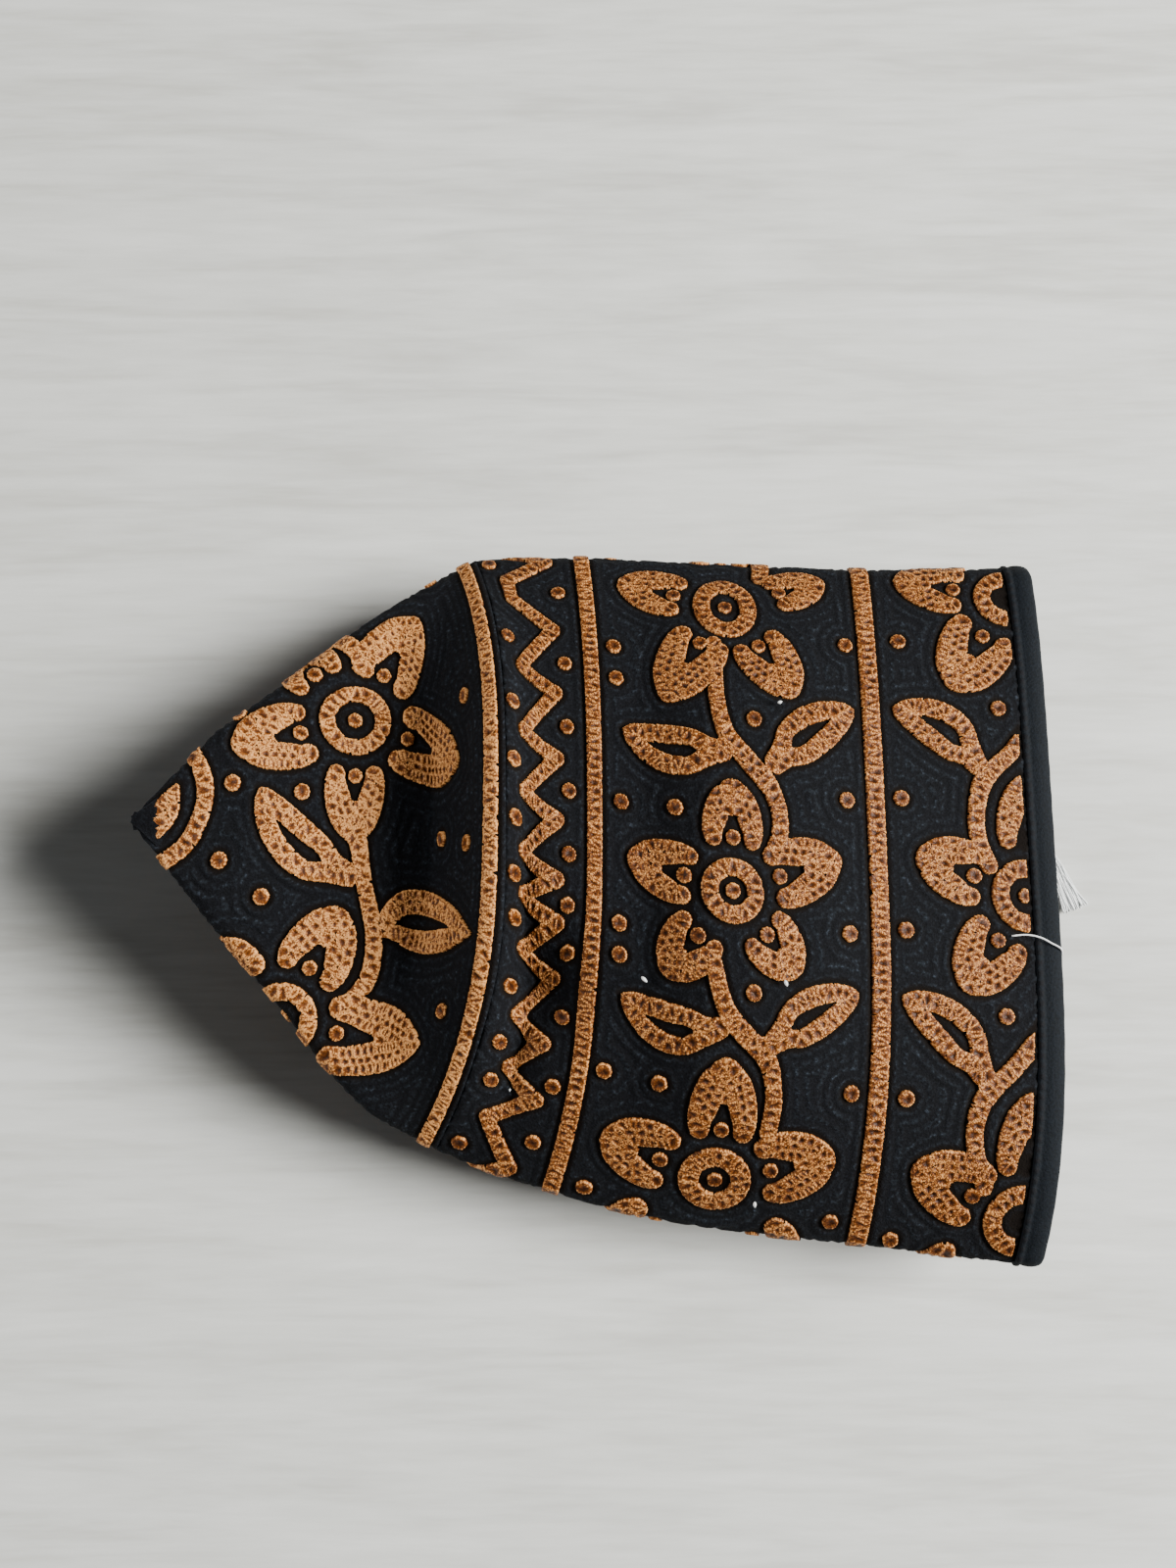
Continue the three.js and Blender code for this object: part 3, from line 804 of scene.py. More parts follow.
def ray_limits(holes, field, aims):
    """How far threads can run from each hole: to the next hole's threads, and to the gold's edge."""
    grid = {}
    for index, (x, y) in enumerate(holes):
        grid.setdefault((int(x // NEIGHBOURS), int(y // NEIGHBOURS)), []).append(index)
    meeting = np.full(aims.shape[:2], LONGEST_THREAD)
    for index, (x, y) in enumerate(holes):
        around = [k for k in cells_round(grid, x, y, NEIGHBOURS)[1] if k != index]
        if not around:
            continue
        apart = holes[around] - holes[index]
        toward = aims[index] @ apart.T
        size = (apart ** 2).sum(1)
        reach = np.where(toward > 1e-3, size / (2 * np.maximum(toward, 1e-3)), LONGEST_THREAD)
        meeting[index] = np.minimum(meeting[index], reach.min(1))
    edge = np.full(aims.shape[:2], LONGEST_THREAD)
    last = np.full(aims.shape[:2], -1.0)
    found = np.zeros(aims.shape[:2], bool)
    for step in np.arange(EDGE_STEP, LONGEST_THREAD + EDGE_STEP, EDGE_STEP):
        here = field.read(holes[:, None, 0] + aims[..., 0] * step, holes[:, None, 1] + aims[..., 1] * step)
        crossing = (here > 0) & ~found
        share = np.clip(-last / np.maximum(here - last, 1e-6), 0.0, 1.0)
        edge = np.where(crossing, step - EDGE_STEP + EDGE_STEP * share, edge)
        found |= crossing
        last = here
    return meeting, edge


def stitches(holes, field, skin, to_cap, rays, rings):
    """Tufts of thread round every hole, as points, faces, the faces' places round their hole counted in
    threads, painted light and shade, and tone."""
    count = len(holes)
    turn = chance.uniform(0, 2 * math.pi, (count, 1)) + np.arange(rays) * 2 * math.pi / rays
    aims = np.stack((np.cos(turn), np.sin(turn)), 2)
    meeting, edge = ray_limits(holes, field, aims)
    length = np.minimum(meeting, edge)
    free = np.clip((meeting - edge) / EDGE_BLEND, 0.0, 1.0)
    free = np.where(length >= LONGEST_THREAD, 1.0, free)
    teeth = np.where(np.arange(rays) % 2 == 0, EDGE_TEETH, -EDGE_TEETH)[None, :]
    length = np.maximum(length + free * teeth, SHORTEST_THREAD)
    # Each thread's random tone, plus a painted sheen on threads that run round the cap
    thread_tone_and_sheen = chance.normal(0.0, THREAD_VARIES, (count, rays)) + PAINTED_SHEEN * np.cos(2 * turn)
    hole_tone = chance.uniform(-HOLE_VARIES, HOLE_VARIES, (count, 1))
    oval = HOLE_OVAL * np.cos(2 * (turn - chance.uniform(0, math.pi, (count, 1))))
    tone = chance.uniform(0.0, 1.0, count)
    # Each ring's painted light: painted shade in the hole and at the gold's edge, a painted highlight on the
    # crest
    planes = [holes[:, None, :]]
    heights = [np.full((count, 1), HOLE_DEPTH)]
    lights = [np.full((count, 1), HOLE_PAINTED_LIGHT)]
    for share, inner, outer, light in rings:
        planes.append(holes[:, None, :] + aims * (length * share * (1 + oval * (1 - share)))[..., None])
        heights.append(inner + (outer - inner) * free)
        lights.append(np.clip(light + thread_tone_and_sheen * share + hole_tone * (1 - share), 0.0, 1.0))
    flat = np.concatenate(planes, 1)
    size = flat.shape[1]
    angle, along = to_cap(flat[..., 0].ravel(), flat[..., 1].ravel())
    points = skin.lifted(angle, along, np.concatenate(heights, 1).ravel())
    faces, places = [], []
    for k in range(rays):
        after = (k + 1) % rays
        faces.append((0, 1 + k, 1 + after))
        places.append((k + 0.5, k, k + 1))
        for r in range(len(rings) - 1):
            a, b = 1 + r * rays, 1 + (r + 1) * rays
            faces.append((a + k, b + k, a + after))
            places.append((k, k, k + 1))
            faces.append((b + k, b + after, a + after))
            places.append((k, k + 1, k + 1))
    faces = (np.asarray(faces)[None] + (np.arange(count) * size)[:, None, None]).reshape(-1, 3)
    places = np.tile(np.asarray(places) * (THREADS / rays), (count, 1))
    return points, faces, places, np.concatenate(lights, 1).ravel(), np.repeat(tone, size)


def make_mesh(name, points, faces, places=None, **values):
    """A smooth mesh object in metres from points in millimetres, with a number stored at every point for each
    value, and the places round the needle holes at the faces' corners."""
    mesh = bpy.data.meshes.new(name)
    points = (np.asarray(points) - ORIGIN) * MM
    faces = np.asarray(faces, dtype=np.int32)
    sides = faces.shape[1]
    mesh.vertices.add(len(points))
    mesh.vertices.foreach_set("co", points.astype(np.float32).ravel())
    mesh.loops.add(faces.size)
    mesh.loops.foreach_set("vertex_index", faces.ravel())
    mesh.polygons.add(len(faces))
    mesh.polygons.foreach_set("loop_start", np.arange(0, faces.size, sides, dtype=np.int32))
    mesh.polygons.foreach_set("loop_total", np.full(len(faces), sides, dtype=np.int32))
    mesh.update(calc_edges=True)
    mesh.polygons.foreach_set("use_smooth", np.ones(len(faces), bool))
    for key, numbers in values.items():
        layer = mesh.attributes.new(key, "FLOAT", "POINT")
        layer.data.foreach_set("value", np.asarray(numbers, np.float32))
    if places is not None:
        layer = mesh.attributes.new("thread_place", "FLOAT", "CORNER")
        layer.data.foreach_set("value", places.astype(np.float32).ravel())
    piece = bpy.data.objects.new(name, mesh)
    bpy.context.scene.collection.objects.link(piece)
    return piece


def on_wall(x, y):
    return np.mod(x / GIRTH * 360.0, 360.0), y


def on_crown(x, y):
    return np.mod(np.degrees(np.arctan2(y, x)), 360.0), np.hypot(x, y)


def in_front(holes, to_cap):
    """Which holes lie on the front panel or just over its ridges."""
    angle, _ = to_cap(holes[:, 0], holes[:, 1])
    return (angle < FOLDS[1] + RIDGE_SPARE) | (angle > 360.0 - RIDGE_SPARE)


def embroider(name, strokes, field, skin, to_cap, keep, painted_light=0.0):
    """One group of gold stitching as two pieces: close stitches in front, plainer ones where they hide."""
    kinds = (("front", True, FINE_PITCH, FINE_RAYS, FINE_RINGS),
             ("hidden", False, PLAIN_PITCH, PLAIN_RAYS, PLAIN_RINGS))
    for where, front, pitch, rays, rings in kinds:
        holes = stitch_holes(strokes, field, pitch)
        wanted = (in_front(holes, to_cap) == front) & keep(holes)
        points, faces, places, light, tone = stitches(holes, field, skin, to_cap, rays, rings)
        picked = np.repeat(wanted, len(points) // len(holes))
        index = np.cumsum(picked) - 1
        kept = picked[faces[:, 0]]
        # The tone is each stitch's random tone plus, on the crown, a painted light
        piece = make_mesh(f"{name}_{where}", points[picked], index[faces[kept]], places[kept],
                          light=light[picked], tone=tone[picked] + painted_light)
        dress(piece, "gold_thread")


# The stitched ground: depth and width of the groove beside the gold, then the rows' spacing, height, first
# place and fade, and how uneven the cloth is
GROOVE_DEPTH = 0.22
GROOVE_WIDTH = 0.7
ECHO_PITCH = 2.05
ECHO_HEIGHT = 0.16
ECHO_START = 1.6
ECHO_FADE = 0.8
UNEVEN = 0.012


def ground_height(distance):
    """The black ground: a groove round the gold, then rows of black stitches that echo its outline."""
    groove = -GROOVE_DEPTH * np.exp(-(np.maximum(distance, 0.0) / GROOVE_WIDTH) ** 2)
    start = np.clip((distance - GROOVE_WIDTH) / ECHO_FADE, 0.0, 1.0)
    echo = ECHO_HEIGHT * np.cos(2 * math.pi * (distance - ECHO_START) / ECHO_PITCH) * start
    return groove + echo


def tube_faces(rows, columns):
    """Quads between rows of points round the cap, facing out when the rows run from crown to rim outside."""
    row, column = np.arange(rows)[:, None], np.arange(columns)[None, :]
    here, ahead = row * columns, (row + 1) % rows * columns
    beside = (column + 1) % columns
    return np.stack((here + column, here + beside, ahead + beside, ahead + column), 2).reshape(-1, 4)


def cloth_shell(name, stations, inner_stations, angles, field, skin, from_cap):
    """A cloth with its stitched outer face and a plain inner face, closed at its edges."""
    angle, along = np.meshgrid(angles, stations)
    distance = field.read(*from_cap(angle, along))
    height = ground_height(distance) + chance.normal(0, UNEVEN, distance.shape)
    outside = skin.lifted(angle, along, height)
    angle_in, along_in = np.meshgrid(angles, inner_stations[::-1])
    inside, out = skin.at(angle_in, along_in)
    inside = inside - out * CLOTH
    points = np.concatenate((outside, inside))
    rows, columns = points.shape[:2]
    faces = tube_faces(rows, columns)
    distance = np.concatenate((distance, np.full(inside.shape[:2], Field.FAR)))
    piece = make_mesh(name, points.reshape(-1, 3), faces, gold_distance=distance.ravel())
    dress(piece, "black_stitching")
    return piece


def to_wall(angle, along):
    return angle / 360.0 * GIRTH, along


def to_crown(angle, along):
    a = np.radians(angle)
    return along * np.cos(a), along * np.sin(a)


# The turned hem's section: distance from the hem's edge towards the rim and height over the cloth's outer face
HEM_SECTION = ((0.05, -2.3), (0.05, 0.0), (0.15, 0.25), (0.4, 0.42), (0.75, 0.46), (1.1, 0.40), (1.4, 0.30),
               (1.8, 0.36), (2.3, 0.52), (3.0, 0.62), (3.8, 0.62), (4.5, 0.52), (5.1, 0.34), (5.5, 0.08),
               (5.8, -0.35), (5.97, -0.85), (6.0, -1.3), (5.9, -1.8), (5.6, -2.25), (5.1, -2.55), (4.3, -2.65),
               (3.0, -2.65), (1.5, -2.62), (0.6, -2.6))
HEM_SPARE = 0.02
GOLD_END = HEM - 0.9

# A row of ladder stitches along the hem's sewn edge, and slow waves in the turned cloth
LADDER_PLACE = (0.1, 1.3)
LADDER_PITCH = 2.0
LADDER_RISE = 0.16
WAVE_HEIGHT = 0.06
WAVE_LENGTH = 7.0
WAVE_DRIFT = 2.0
WAVES_IN_DRIFT = 7


def hem(skin):
    """The turned black hem with a row of ladder stitches along its edge."""
    section = np.array(HEM_SECTION)
    angle, along = np.meshgrid(HEM_ANGLES, HEM + section[:, 0])
    height = np.repeat(section[:, 1:], len(HEM_ANGLES), 1)
    x, _ = to_wall(angle, along)
    outer = section[:, 1:] > section[0, 1] / 2
    in_row = outer & (along - HEM > LADDER_PLACE[0]) & (along - HEM < LADDER_PLACE[1])
    rung = np.clip(0.5 + np.cos(2 * math.pi * x / LADDER_PITCH), 0.0, 1.0) * in_row
    turn = 2 * math.pi * x / WAVE_LENGTH
    wave = np.sin(turn + WAVE_DRIFT * np.sin(turn / WAVES_IN_DRIFT))
    height = height + rung * LADDER_RISE + outer * WAVE_HEIGHT * wave
    points = skin.lifted(angle, np.minimum(along, RIM - HEM_SPARE), height)
    faces = tube_faces(*points.shape[:2])
    piece = make_mesh("rim_binding_sewn", points.reshape(-1, 3), faces, rung=rung.ravel())
    dress(piece, "binding_cotton")
    return piece


def colour(code):
    """An sRGB hex colour as Blender's linear one."""
    channels = [int(code[k:k + 2], 16) / 255.0 for k in (1, 3, 5)]
    return [c / 12.92 if c <= 0.04045 else ((c + 0.055) / 1.055) ** 2.4 for c in channels] + [1.0]


def fill_in(tree, node, inputs):
    """Gives a node's inputs their numbers and colours, or links them to other nodes' outputs."""
    for place, value in inputs.items():
        if isinstance(value, bpy.types.NodeSocket):
            tree.links.new(value, node.inputs[place])
        else:
            node.inputs[place].default_value = value


def add(tree, kind, inputs=(), out=0, stops=(), **settings):
    """Adds a node and returns one of its outputs. Stops are a colour ramp's (place, hex colour) in order."""
    node = tree.nodes.new("ShaderNode" + kind)
    for key, value in settings.items():
        setattr(node, key, value)
    fill_in(tree, node, dict(inputs))
    for k, (place, code) in enumerate(stops):
        element = node.color_ramp.elements[k] if k < 2 else node.color_ramp.elements.new(place)
        element.position = place
        element.color = colour(code)
    return node.outputs[out]


def new_material(name):
    material = bpy.data.materials.new(name)
    material.use_nodes = True
    tree = material.node_tree
    return material, tree, tree.nodes["Principled BSDF"]


# A colour mix has its two colours at these inputs and its result at this output
MIX_FIRST, MIX_SECOND, MIX_RESULT = 6, 7, 2

# Cells of each noise in a metre. Rayon's filaments are 0.02 mm across and cotton's yarns 0.3 mm, too fine to
# show, so both are drawn about 0.5 mm across. The thread's tension changes over 22 mm. The black stitches
# are 0.8 mm and their rows wander over 2.4 mm, as sewn.
RAYON_FIBRE = 1900.0
TENSION = 45.0
COTTON_FIBRE = 2200.0
BLACK_STITCH = 1300.0
ROWS_WANDER = 420.0
WEAVE = 1800.0


def gold_rayon():
    """Viscose rayon embroidery thread, machine stitched: a satin orange gold, painted dark brown as shade where
    it dives into the needle holes and between its threads, with a painted highlight where it crosses the
    crests."""
    material, tree, shader = new_material("rayon_thread_gold")
    # The light attribute is painted light: painted shade in the needle holes and at the gold's edge, a painted
    # highlight on the crests
    light, tone, round_hole = [add(tree, "Attribute", out="Fac", attribute_name=name)
                               for name in ("light", "tone", "thread_place")]
    place = add(tree, "TexCoord", out="Object")
    # A wave round the hole, lighter on each thread and darker between them: painted shade between the threads,
    # also used as bump
    turn = add(tree, "Math", {0: round_hole, 1: 2 * math.pi}, operation="MULTIPLY")
    wave = add(tree, "Math", {0: turn}, operation="COSINE")
    thread = add(tree, "Math", {0: wave, 1: light}, operation="MULTIPLY")
    fibre = add(tree, "TexNoise", {0: place, "Scale": RAYON_FIBRE, "Detail": 3.0, "Roughness": 0.7})
    patch = add(tree, "TexNoise", {0: place, "Scale": TENSION, "Detail": 2.0, "Roughness": 0.5})
    # How much each pattern lightens the thread, then what is taken off to put their sum on the colours' scale.
    # The tone carries each stitch's random tone and, on the crown, its painted light
    level = light
    for pattern, share in ((fibre, 1.5), (tone, 0.14), (patch, 0.22), (thread, 0.2)):
        level = add(tree, "Math", {0: pattern, 1: share, 2: level}, operation="MULTIPLY_ADD")
    level = add(tree, "Math", {0: level, 1: 1.04}, operation="SUBTRACT")
    shade = add(tree, "ValToRGB", {0: level},
                stops=((0.0, "#271105"), (0.3, "#48240A"), (0.65, "#703E15"), (1.0, "#C98E53")))
    relief = add(tree, "Math", {0: thread, 1: 0.6, 2: fibre}, operation="MULTIPLY_ADD")
    bump = add(tree, "Bump", {"Height": relief, "Strength": 0.35, "Distance": 0.0002})
    fill_in(tree, shader, {"Base Color": shade, "Roughness": 0.45, "IOR": 1.5, "Specular IOR Level": 0.12,
                           "Normal": bump})
    return material


def black_cotton():
    """Black cotton, machine quilted with black thread in rows that echo the gold: matt blue black, with a
    painted highlight on the stitches along the rows' crests and a dark brown painted shade in the groove beside
    the gold."""
    material, tree, shader = new_material("stitched_cotton_black")
    distance = add(tree, "Attribute", out="Fac", attribute_name="gold_distance")
    place = add(tree, "TexCoord", out="Object")
    wander = add(tree, "TexNoise", {0: place, "Scale": ROWS_WANDER, "Detail": 2.0, "Roughness": 0.55})
    fibre = add(tree, "TexNoise", {0: place, "Scale": COTTON_FIBRE, "Detail": 3.0, "Roughness": 0.6})
    # The rows as a wave of the distance to the gold, bent by the wandering, with stitches on its crests painted
    # lighter as a painted highlight
    rows = {0: distance, 1: 2 * math.pi / ECHO_PITCH, 2: -ECHO_START * 2 * math.pi / ECHO_PITCH}
    turn = add(tree, "Math", rows, operation="MULTIPLY_ADD")
    turn = add(tree, "Math", {0: wander, 1: 2.4, 2: turn}, operation="MULTIPLY_ADD")
    wave = add(tree, "Math", {0: turn}, operation="COSINE")
    painted_crest_highlight = add(tree, "MapRange", {0: wave, "From Min": -1.0, "From Max": 1.0})
    dash = add(tree, "TexNoise", {0: place, "Scale": BLACK_STITCH, "Detail": 0.0})
    dash = add(tree, "MapRange", {0: dash, "From Min": 0.3, "From Max": 0.7})
    level = add(tree, "Math", {0: painted_crest_highlight, 1: dash}, operation="MULTIPLY")
    level = add(tree, "Math", {0: level, 1: 0.4}, operation="MULTIPLY")
    level = add(tree, "Math", {0: fibre, 1: 0.95, 2: level}, operation="MULTIPLY_ADD")
    shade = add(tree, "ValToRGB", {0: level},
                stops=((0.25, "#030405"), (0.55, "#0A0B0F"), (0.85, "#15191E"), (1.0, "#2A3039")))
    # Painted shade, dark brown, in the groove within a millimetre and a half of the gold
    beside = add(tree, "MapRange", {0: distance, "From Min": 0.5, "From Max": 1.5, "To Min": 1.0,
                                    "To Max": 0.0})
    tint = add(tree, "Mix", {0: beside, MIX_FIRST: shade, MIX_SECOND: colour("#080402")},
               out=MIX_RESULT, data_type="RGBA")
    relief = add(tree, "Math", {0: fibre, 1: 0.5, 2: level}, operation="MULTIPLY_ADD")
    bump = add(tree, "Bump", {"Height": relief, "Strength": 0.6, "Distance": 0.0003})
    fill_in(tree, shader, {"Base Color": tint, "Roughness": 0.9, "Specular IOR Level": 0.1, "Normal": bump})
    return material


def binding_cotton():
    """Plain woven black cotton, turned and sewn as the hem: bluish black with a fine weave."""
    material, tree, shader = new_material("woven_cotton_black")
    rung = add(tree, "Attribute", out="Fac", attribute_name="rung")
    place = add(tree, "TexCoord", out="Object")
    fibre = add(tree, "TexNoise", {0: place, "Scale": WEAVE, "Detail": 3.0, "Roughness": 0.6})
    shade = add(tree, "ValToRGB", {0: fibre}, stops=((0.25, "#05080B"), (0.75, "#0E141B")))
    tint = add(tree, "Mix", {0: rung, MIX_FIRST: shade, MIX_SECOND: colour("#0B0C10")}, out=MIX_RESULT,
               data_type="RGBA")
    bump = add(tree, "Bump", {"Height": fibre, "Strength": 0.6, "Distance": 0.0003})
    fill_in(tree, shader, {"Base Color": tint, "Roughness": 0.8, "Specular IOR Level": 0.12, "Normal": bump})
    return material


# Stretch of the marble's pattern across the floor, and cells in a metre: veins of 110 by 12 mm and streaks of
# 22 by 2.5 mm
MARBLE_STRETCH = (1.0, 9.0, 1.0)
VEIN = 9.0
STREAK = 45.0


def marble_floor():
    """Honed pale marble: cool light grey with faint veins."""
    material, tree, shader = new_material("marble_honed_pale")
    place = add(tree, "TexCoord", out="Object")
    place = add(tree, "Mapping", {0: place, "Scale": MARBLE_STRETCH})
    vein = add(tree, "TexNoise", {0: place, "Scale": VEIN, "Detail": 5.0, "Roughness": 0.6,
                                  "Distortion": 0.8})
    streak = add(tree, "TexNoise", {0: place, "Scale": STREAK, "Detail": 3.0, "Roughness": 0.6})
    level = add(tree, "Math", {0: streak, 1: 0.5, 2: vein}, operation="MULTIPLY_ADD")
    shade = add(tree, "ValToRGB", {0: level}, stops=((0.55, "#C4C5C1"), (0.75, "#D2D4D1"), (0.95, "#DCDEDC")))
    fill_in(tree, shader, {"Base Color": shade, "Roughness": 0.4})
    return material


def white_cotton():
    """White cotton sewing thread and lint, matt and slightly cool."""
    material, tree, shader = new_material("white_cotton_thread")
    fill_in(tree, shader, {"Base Color": colour("#DCDFE0"), "Roughness": 0.8})
    return material


# Each finish's material, by the finish's name
MATERIALS = {"gold_thread": gold_rayon(), "black_stitching": black_cotton(),
             "binding_cotton": binding_cotton(), "white_thread": white_cotton()}

# What the fill lamp lights
cap_pieces = bpy.data.collections.new("cap_pieces")


def dress(piece, finish):
    """Gives a piece its material and slot, and lets it ride on the cap's one body."""
    cap_pieces.objects.link(piece)
    piece.data.materials.append(MATERIALS[finish])
    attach(piece, "root")


# The side wall's cloth: spacing of its outer rows, number of inner rows past the dents, how far it runs under
# the hem, how far its needle holes stay from the seam, and how far its distance field goes on past that
WALL_ROW = 0.72
WALL_INNER_ROWS = 8
UNDER_HEM = 0.2
WALL_MARGIN = 0.8
WALL_FIELD = 6.0

# The crown's cloth: its first row's distance from the centre, number of outer and inner rows, how far its
# needle holes stay from the seam, and how far its distance field goes on past that
CROWN_START = 0.5
CROWN_ROWS = 112
CROWN_INNER_ROWS = 9
CROWN_MARGIN = 1.0
CROWN_FIELD = 2.0


def side_wall(skin):
    """The side wall's gold and black cloth, and its hem."""
    groups = {name: wrapped(strokes) for name, strokes in wall_strokes().items()}
    field = Field((-OVERRUN, SEAM - WALL_FIELD), (GIRTH + OVERRUN, RIM), groups)
    field.cut(GOLD_END)

    def keep(holes):
        return (holes[:, 0] >= 0) & (holes[:, 0] < GIRTH) & (holes[:, 1] > SEAM + WALL_MARGIN)

    for name, strokes in groups.items():
        embroider(name, strokes, field, skin, on_wall, keep)
    start, end = SEAM + SEWN_GAP, HEM + UNDER_HEM
    inner_rows = np.concatenate((np.arange(start, DENTED_TO, DENTED_ROW),
                                 np.linspace(DENTED_TO, end, WALL_INNER_ROWS)))
    cloth = cloth_shell("side_wall_stitched", np.arange(start, end, WALL_ROW), inner_rows, CLOTH_ANGLES,
                        field, skin, to_wall)
    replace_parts(cloth, "side_wall")
    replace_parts(hem(skin), "rim_binding")


def crown(skin):
    """The crown's gold and black cloth."""
    groups = crown_strokes()
    reach = SEAM + CROWN_FIELD
    field = Field((-reach, -reach), (reach, reach), groups)

    def keep(holes):
        return np.hypot(holes[:, 0], holes[:, 1]) < SEAM - CROWN_MARGIN

    for name, strokes in groups.items():
        embroider("crown_" + name, strokes, field, skin, on_crown, keep, CROWN_PAINTED_LIGHT)
    outer_rows, inner_rows = [np.linspace(CROWN_START, SEAM - SEWN_GAP, count)
                              for count in (CROWN_ROWS, CROWN_INNER_ROWS)]
    cloth = cloth_shell("crown_stitched", outer_rows, inner_rows, CROWN_ANGLES, field, skin, to_crown)
    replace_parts(cloth, "crown")


# A loose thread that lies over the hem, in the side wall's flat places with the height over the cloth
LOOSE_THREAD = ((84.9, 202.9, 0.3), (84.6, 205.8, 0.9), (85.1, 208.6, 1.3), (86.2, 211.0, 1.2),
                (87.2, 213.0, 1.0), (88.2, 214.0, -0.6))
LOOSE_RADIUS = 0.17
LOOSE_POINTS = 24

# Specks of lint on the stitching, with their lengths, in the side wall's flat places
LINT = ((99.3, 127.1, 1.5), (96.5, 155.0, 1.2), (42.6, 155.4, 1.0), (141.1, 153.9, 1.3), (128.6, 101.3, 1.0))
LINT_RADIUS = 0.34
LINT_SHAPE = np.array((0.3, 0.9, 1.0, 0.8, 0.3))
LINT_RISE = 0.5

# The tuft of cut threads that shows under the rim: first and last thread, from the root to the cut end
TUFT_THREADS = 70
TUFT_FIRST = ((98.5, -13.0, 3.5), (101.6, -19.0, 3.0), (103.4, -24.5, 1.8), (104.8, -29.2, 0.8))
TUFT_LAST = ((100.0, -13.0, 3.0), (103.6, -18.0, 2.4), (106.8, -22.6, 1.4), (110.0, -27.2, 0.5))
TUFT_RADIUS = 0.17
TUFT_POINTS = 10
TUFT_LOOSE = 0.4
TUFT_LIFT = 0.8

# Sides of a thread's tube, and places worked out between two given ones
THREAD_SIDES = 6
SPAN_PLACES = 9


def tube(path, radii):
    """A closed tube of triangles along a path."""
    ahead = np.gradient(path, axis=0)
    ahead /= np.linalg.norm(ahead, axis=1, keepdims=True)
    side = np.cross(ahead, (0.0, 0.0, 1.0))
    side /= np.maximum(np.linalg.norm(side, axis=1, keepdims=True), 1e-6)
    over = np.cross(side, ahead)
    turn = np.arange(THREAD_SIDES) * 2 * math.pi / THREAD_SIDES
    spoke = np.cos(turn)[None, :, None] * side[:, None, :] + np.sin(turn)[None, :, None] * over[:, None, :]
    points = path[:, None, :] + spoke * np.asarray(radii)[:, None, None]
    count = len(path)
    first, last = count * THREAD_SIDES, count * THREAD_SIDES + 1
    end = first - THREAD_SIDES
    faces = []
    for k in range(THREAD_SIDES):
        after = (k + 1) % THREAD_SIDES
        faces += [(first, after, k), (last, end + k, end + after)]
        for a in range(0, end, THREAD_SIDES):
            b = a + THREAD_SIDES
            faces += [(a + k, a + after, b + k), (a + after, b + after, b + k)]
    return np.vstack((points.reshape(-1, 3), path[:1], path[-1:])), faces


def rounded(path, count):
    """A curved path through a few places, as evenly spaced points."""
    shares = np.linspace(0.0, 1.0, SPAN_PLACES)[:, None]
    found = [in_span(*span, shares) for span in spans(np.asarray(path, float))]
    return along_curve(np.vstack(found), np.linspace(0.0, 1.0, count))


def white_piece(name, tubes):
    """One piece of white thread from a few tubes."""
    points, faces, start = [], [], 0
    for places, sides in tubes:
        points.append(places)
        faces.append(np.array(sides) + start)
        start += len(places)
    dress(make_mesh(name, np.vstack(points), np.vstack(faces)), "white_thread")


def loose_threads(skin):
    """White bits that cling to the cap: a thread over the hem, specks of lint and a cut tuft under the rim."""
    rows = np.array(LOOSE_THREAD)
    path = skin.lifted(*on_wall(rows[:, 0], rows[:, 1]), rows[:, 2])
    thread = tube(rounded(path, LOOSE_POINTS), np.full(LOOSE_POINTS, LOOSE_RADIUS))
    white_piece("loose_thread_at_rim", [thread])
    specks = []
    for x, along, length in LINT:
        turn = random.uniform(0.0, math.pi)
        steps = np.linspace(-0.5, 0.5, len(LINT_SHAPE)) * length
        path = skin.lifted(*on_wall(x + steps * math.cos(turn), along + steps * math.sin(turn)),
                           np.full(len(LINT_SHAPE), GOLD_RISE + LINT_RISE))
        specks.append(tube(path, LINT_RADIUS * LINT_SHAPE))
    white_piece("lint", specks)
    threads = []
    first, last = np.array(TUFT_FIRST), np.array(TUFT_LAST)
    for k in range(TUFT_THREADS):
        share = (k + random.uniform(-0.5, 0.5)) / (TUFT_THREADS - 1)
        sway = np.array([(random.uniform(-1, 1) * TUFT_LOOSE, random.uniform(-1, 1) * TUFT_LOOSE,
                          abs(random.uniform(-1, 1)) * TUFT_LIFT) for _ in first])
        path = first + (last - first) * share + sway
        threads.append(tube(rounded(path, TUFT_POINTS), np.full(TUFT_POINTS, TUFT_RADIUS)))
    white_piece("loose_tuft_at_rim", threads)


# Half the floor's width, in metres
FLOOR_HALF = 1.6


def floor():
    corners = [(x * FLOOR_HALF, y * FLOOR_HALF, 0) for x, y in ((-1, -1), (1, -1), (1, 1), (-1, 1))]
    mesh = bpy.data.meshes.new("floor")
    mesh.from_pydata(corners, [], [(0, 1, 2, 3)])
    piece = bpy.data.objects.new("floor", mesh)
    bpy.context.scene.collection.objects.link(piece)
    mesh.materials.append(marble_floor())


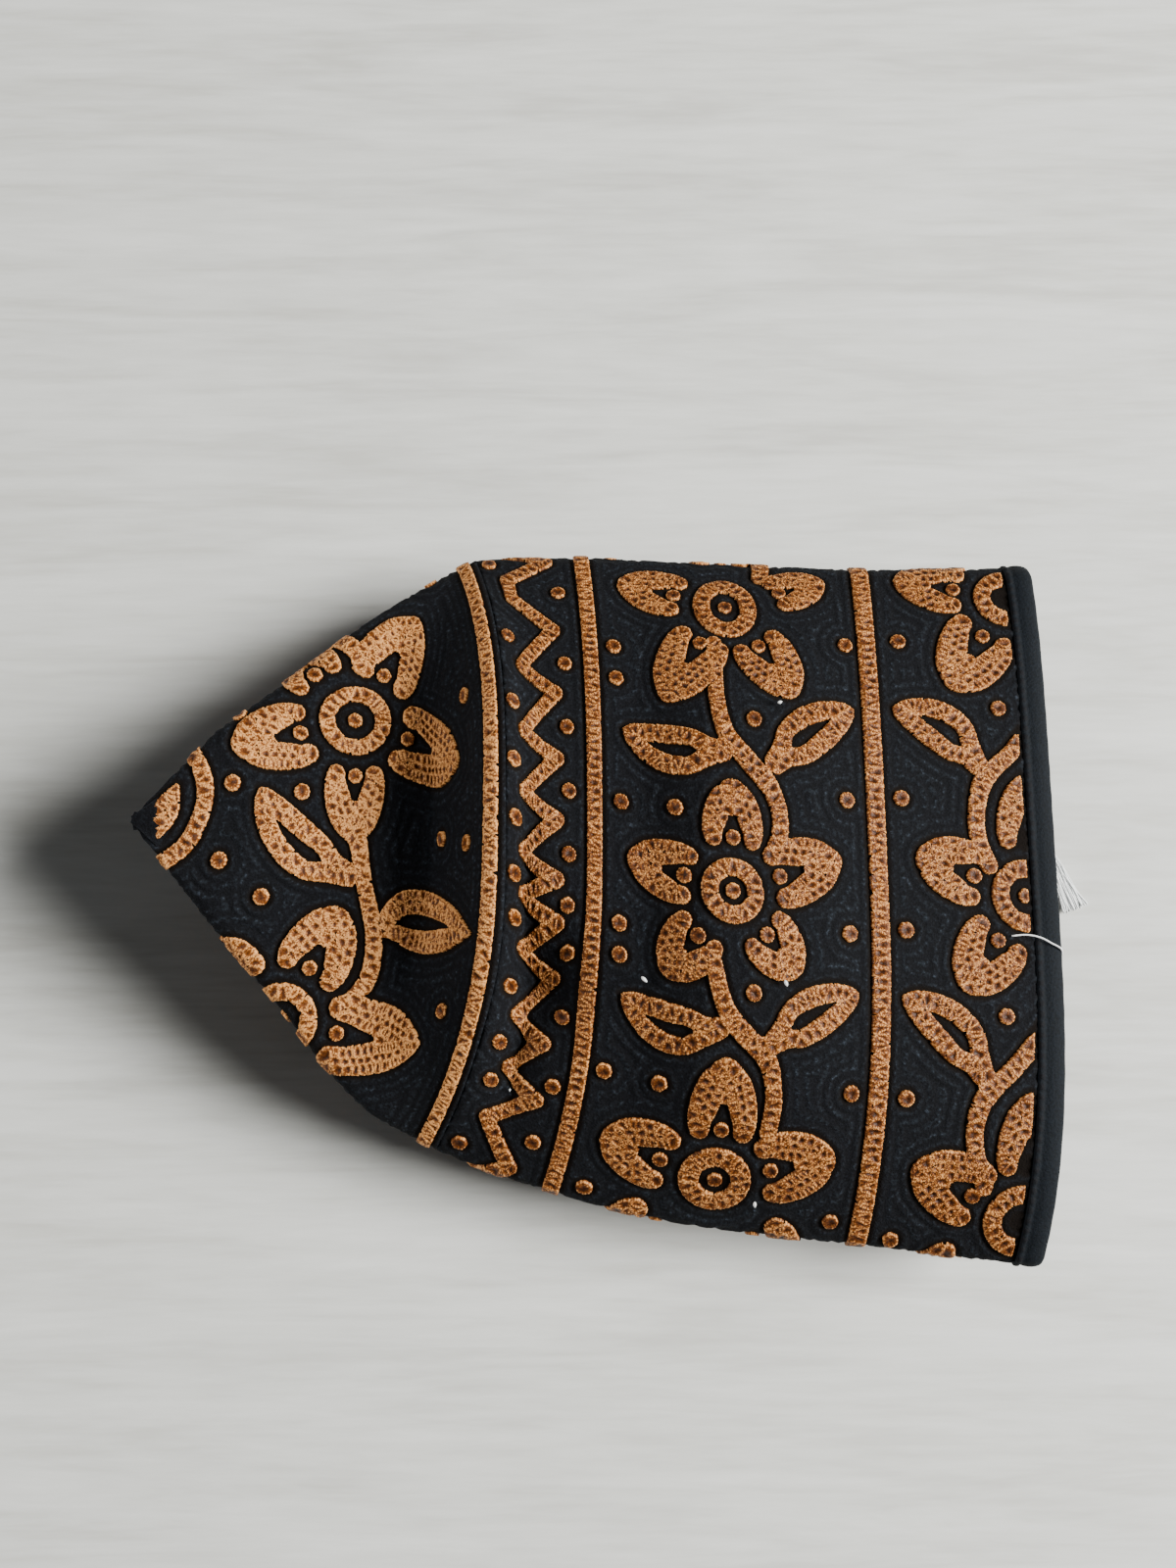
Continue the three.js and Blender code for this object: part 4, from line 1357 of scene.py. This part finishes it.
def lamp(name, size, energy, tint, side, rise, away):
    """A soft area lamp that faces the cap from a direction round it and a height, both in degrees."""
    light = bpy.data.lights.new(name, "AREA")
    light.shape = "RECTANGLE"
    light.size, light.size_y = size
    light.energy = energy
    light.color = colour(tint)[:3]
    holder = bpy.data.objects.new(name, light)
    side, rise = math.radians(side), math.radians(rise)
    holder.location = (away * math.cos(rise) * math.cos(side), away * math.cos(rise) * math.sin(side),
                       away * math.sin(rise))
    holder.rotation_euler = (0.0, math.pi / 2 - rise, side)
    bpy.context.scene.collection.objects.link(holder)
    return holder


def lights():
    """A window to the right, a weak lamp on the left that only the cap catches, and a pale room."""
    lamp("window", size=(0.9, 1.1), energy=184.0, tint="#FFFDF8", side=1.5, rise=32.5, away=2.2)
    fill = lamp("fill", size=(0.5, 0.5), energy=6.5, tint="#FFFDFA", side=175.0, rise=38.0, away=0.8)
    fill.light_linking.receiver_collection = cap_pieces
    world = bpy.data.worlds.new("pale_room")
    world.use_nodes = True
    tree = world.node_tree
    fill_in(tree, tree.nodes["Background"], {"Color": colour("#F2F4F5"), "Strength": 0.09})
    bpy.context.scene.world = world


# The photograph's view: distance from the frame of the sections, tilt, and the lens and its nearest clear place
CAMERA_DISTANCE = 331.0
CAMERA_TILT = math.radians(12.0)
LENS = 33.75
CLIP_START = 0.01


def camera():
    """The photograph's view: from above, tilted a little from the cap's front."""
    view = bpy.data.cameras.new("camera")
    view.lens = LENS
    view.clip_start = CLIP_START
    holder = bpy.data.objects.new("camera", view)
    place = np.array((0.0, -CAMERA_DISTANCE * math.sin(CAMERA_TILT), CAMERA_DISTANCE * math.cos(CAMERA_TILT)))
    holder.location = (place - ORIGIN) * MM
    holder.rotation_euler = (CAMERA_TILT, 0.0, 0.0)
    bpy.context.scene.collection.objects.link(holder)
    bpy.context.scene.camera = holder


camera()
lights()
floor()
cloth_face = Skin(np.concatenate(((CROWN_START,), np.arange(1.0, RIM + 0.1, 1.0))))
crown(cloth_face)
side_wall(cloth_face)
loose_threads(cloth_face)
